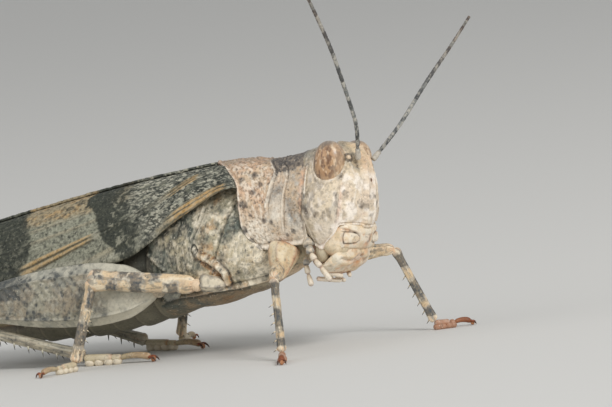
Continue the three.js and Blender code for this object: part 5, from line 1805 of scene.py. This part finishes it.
def makeLeg(word, side, sideWord):
    shape, joints = legs[word], legs[word][sideWord]
    node = f"{word}_{sideWord}"
    name = word.capitalize() + sideWord.capitalize()
    places = [np.array(joints[key], float) for key in ("trochanter", "knee", "ankle", "toe")]
    trochanter, knee, ankle, toe = places
    hind = word == "hind"
    hide = looks["hindLeg" if hind else "leg"]
    root, tip = (trochanter + np.array(shape[key]) * [1, -side, 1] for key in ("root", "tip"))
    marks = coxaMarks(0.0 if word == "fore" else 1.0)
    block = limbPlace(root, tip, shape["block"], shape["blockWide"], 0, 0.3, 0.75)
    base = patch(80, 60, block, coxaRelief, marks)
    knob = ellipsoid(trochanter, (shape["knob"], 0.34, shape["knob"]), 0, 40, 26, None,
                     lambda skin: {"warm": 0.3, "pale": 0.4})
    makePiece("coxa" + name, [base, knob], hide, ["coxa_" + node])
    beyond = (knee - trochanter) / np.linalg.norm(knee - trochanter) * shape["beyond"]
    squareness = 0.85 if hind else 0.95
    thigh = limbPlace(trochanter, knee + beyond, shape["deep"], shape["wide"], 0, 0.38, squareness)
    if hind:
        skins = hindFemurRelief, hindFemurMarks
    else:
        skins = limbRelief, limbMarks(shape["femurMarks"], 221)
    makePiece("femur" + name, [patch(*shape["thighGrid"], thigh, *skins)], hide, ["femur_" + node])
    size = shape["tibia"]
    length = np.linalg.norm(ankle - knee)
    reach = [[0, 0.9 * size], [0.06, 1.1 * size], [0.15, 0.86 * size], [0.85, 0.9 * size], [1, 1.12 * size]]
    shin = [patch(48, 200, limbPlace(knee, ankle, reach, reach, 0, 0.2), limbRelief,
                  limbMarks(shape["tibiaMarks"], 231))]
    axis = (ankle - knee) / length
    flat = np.cross(axis, [0, 0, 1.0]) if abs(axis[2]) < 0.9 else np.cross(axis, [1.0, 0, 0])
    flat /= np.linalg.norm(flat)
    # the spines stand away from the femur on a hind leg, and from the foot on the others
    away = np.cross(axis, flat)
    if away @ ((trochanter if hind else toe) - knee) > 0:
        away = -away
    shin += spinePatches(knee, ankle, size / 2, away, flat, spineRows["hind" if hind else "other"])
    makePiece("tibia" + name, shin, hide, ["tibia_" + node])
    foot = footPatches(ankle, toe, shape["foot"], shape["rust"])
    makePiece("tarsus" + name, foot, looks["tarsus"], ["tarsus_" + node])


for legWord in ("fore", "mid", "hind"):
    for legSide, _, legSideWord in sides:
        makeLeg(legWord, legSide, legSideWord)
print("legs ready")


# Camera and light

view = {"azimuth": 30, "elevation": 3, "roll": 6, "distance": 220, "fieldWidth": 27.8182,
        "target": (0, 0, 8.85), "aimRight": 0.136, "aimDown": 2.205, "sensor": 36, "nearest": 0.01}
studio = {
    "floorReach": 3,
    "floorColour": "dcdad5",
    "floorDullness": 0.9,
    "skyColour": (0.96, 0.98, 1, 1),
    "skyStrength": 0.5,
    "lampAim": (0, 0, 0.005),
    # each lamp's place, size and power
    "lamps": {"key": ((0.4, -0.26, 0.3), 0.16, 1.75), "fill": ((-0.22, -0.36, 0.2), 0.3, 0.3)},
}


def makeCamera():
    a, e, r = (math.radians(view[key]) for key in ("azimuth", "elevation", "roll"))
    level = Vector((math.cos(a), math.sin(a), 0))
    ahead = Vector((-math.sin(a) * math.cos(e), math.cos(a) * math.cos(e), -math.sin(e)))
    rise = level.cross(ahead)
    right = level * math.cos(r) - rise * math.sin(r)
    up = level * math.sin(r) + rise * math.cos(r)
    target = Vector((np.array(view["target"]) + shift) * millimetre)
    place = target - ahead * view["distance"] * millimetre
    aim = target + (right * view["aimRight"] - up * view["aimDown"]) * millimetre
    look = (aim - place).normalized()
    right = look.cross(up).normalized()
    camera = bpy.data.cameras.new("camera")
    camera.sensor_width = view["sensor"]
    camera.lens = view["distance"] * view["sensor"] / view["fieldWidth"]
    camera.clip_start = view["nearest"]
    holder = bpy.data.objects.new("camera", camera)
    turn = Matrix((right, right.cross(look), -look)).transposed()
    holder.matrix_world = Matrix.Translation(place) @ turn.to_4x4()
    bpy.context.collection.objects.link(holder)
    bpy.context.scene.camera = holder


def makeStudio():
    bm = bmesh.new()
    bmesh.ops.create_grid(bm, x_segments=1, y_segments=1, size=studio["floorReach"])
    mesh = bpy.data.meshes.new("floor")
    bm.to_mesh(mesh)
    bm.free()
    floor = bpy.data.objects.new("floor", mesh)
    bpy.context.collection.objects.link(floor)
    paint = bpy.data.materials.new("floorPaint")
    paint.use_nodes = True
    shader = paint.node_tree.nodes["Principled BSDF"]
    shader.inputs["Base Color"].default_value = linear(studio["floorColour"])
    shader.inputs["Roughness"].default_value = studio["floorDullness"]
    mesh.materials.append(paint)
    world = bpy.data.worlds.new("studio")
    bpy.context.scene.world = world
    world.use_nodes = True
    sky = world.node_tree.nodes["Background"]
    sky.inputs["Color"].default_value = studio["skyColour"]
    sky.inputs["Strength"].default_value = studio["skyStrength"]
    for name, (place, size, power) in studio["lamps"].items():
        lamp = bpy.data.lights.new(name, "AREA")
        lamp.size, lamp.energy = size, power
        holder = bpy.data.objects.new(name, lamp)
        holder.location = place
        aim = Vector(studio["lampAim"]) - Vector(place)
        holder.rotation_euler = aim.to_track_quat("-Z", "Y").to_euler()
        bpy.context.collection.objects.link(holder)
    bpy.context.scene.view_settings.view_transform = "Standard"


makeCamera()
makeStudio()
print("camera and studio ready")
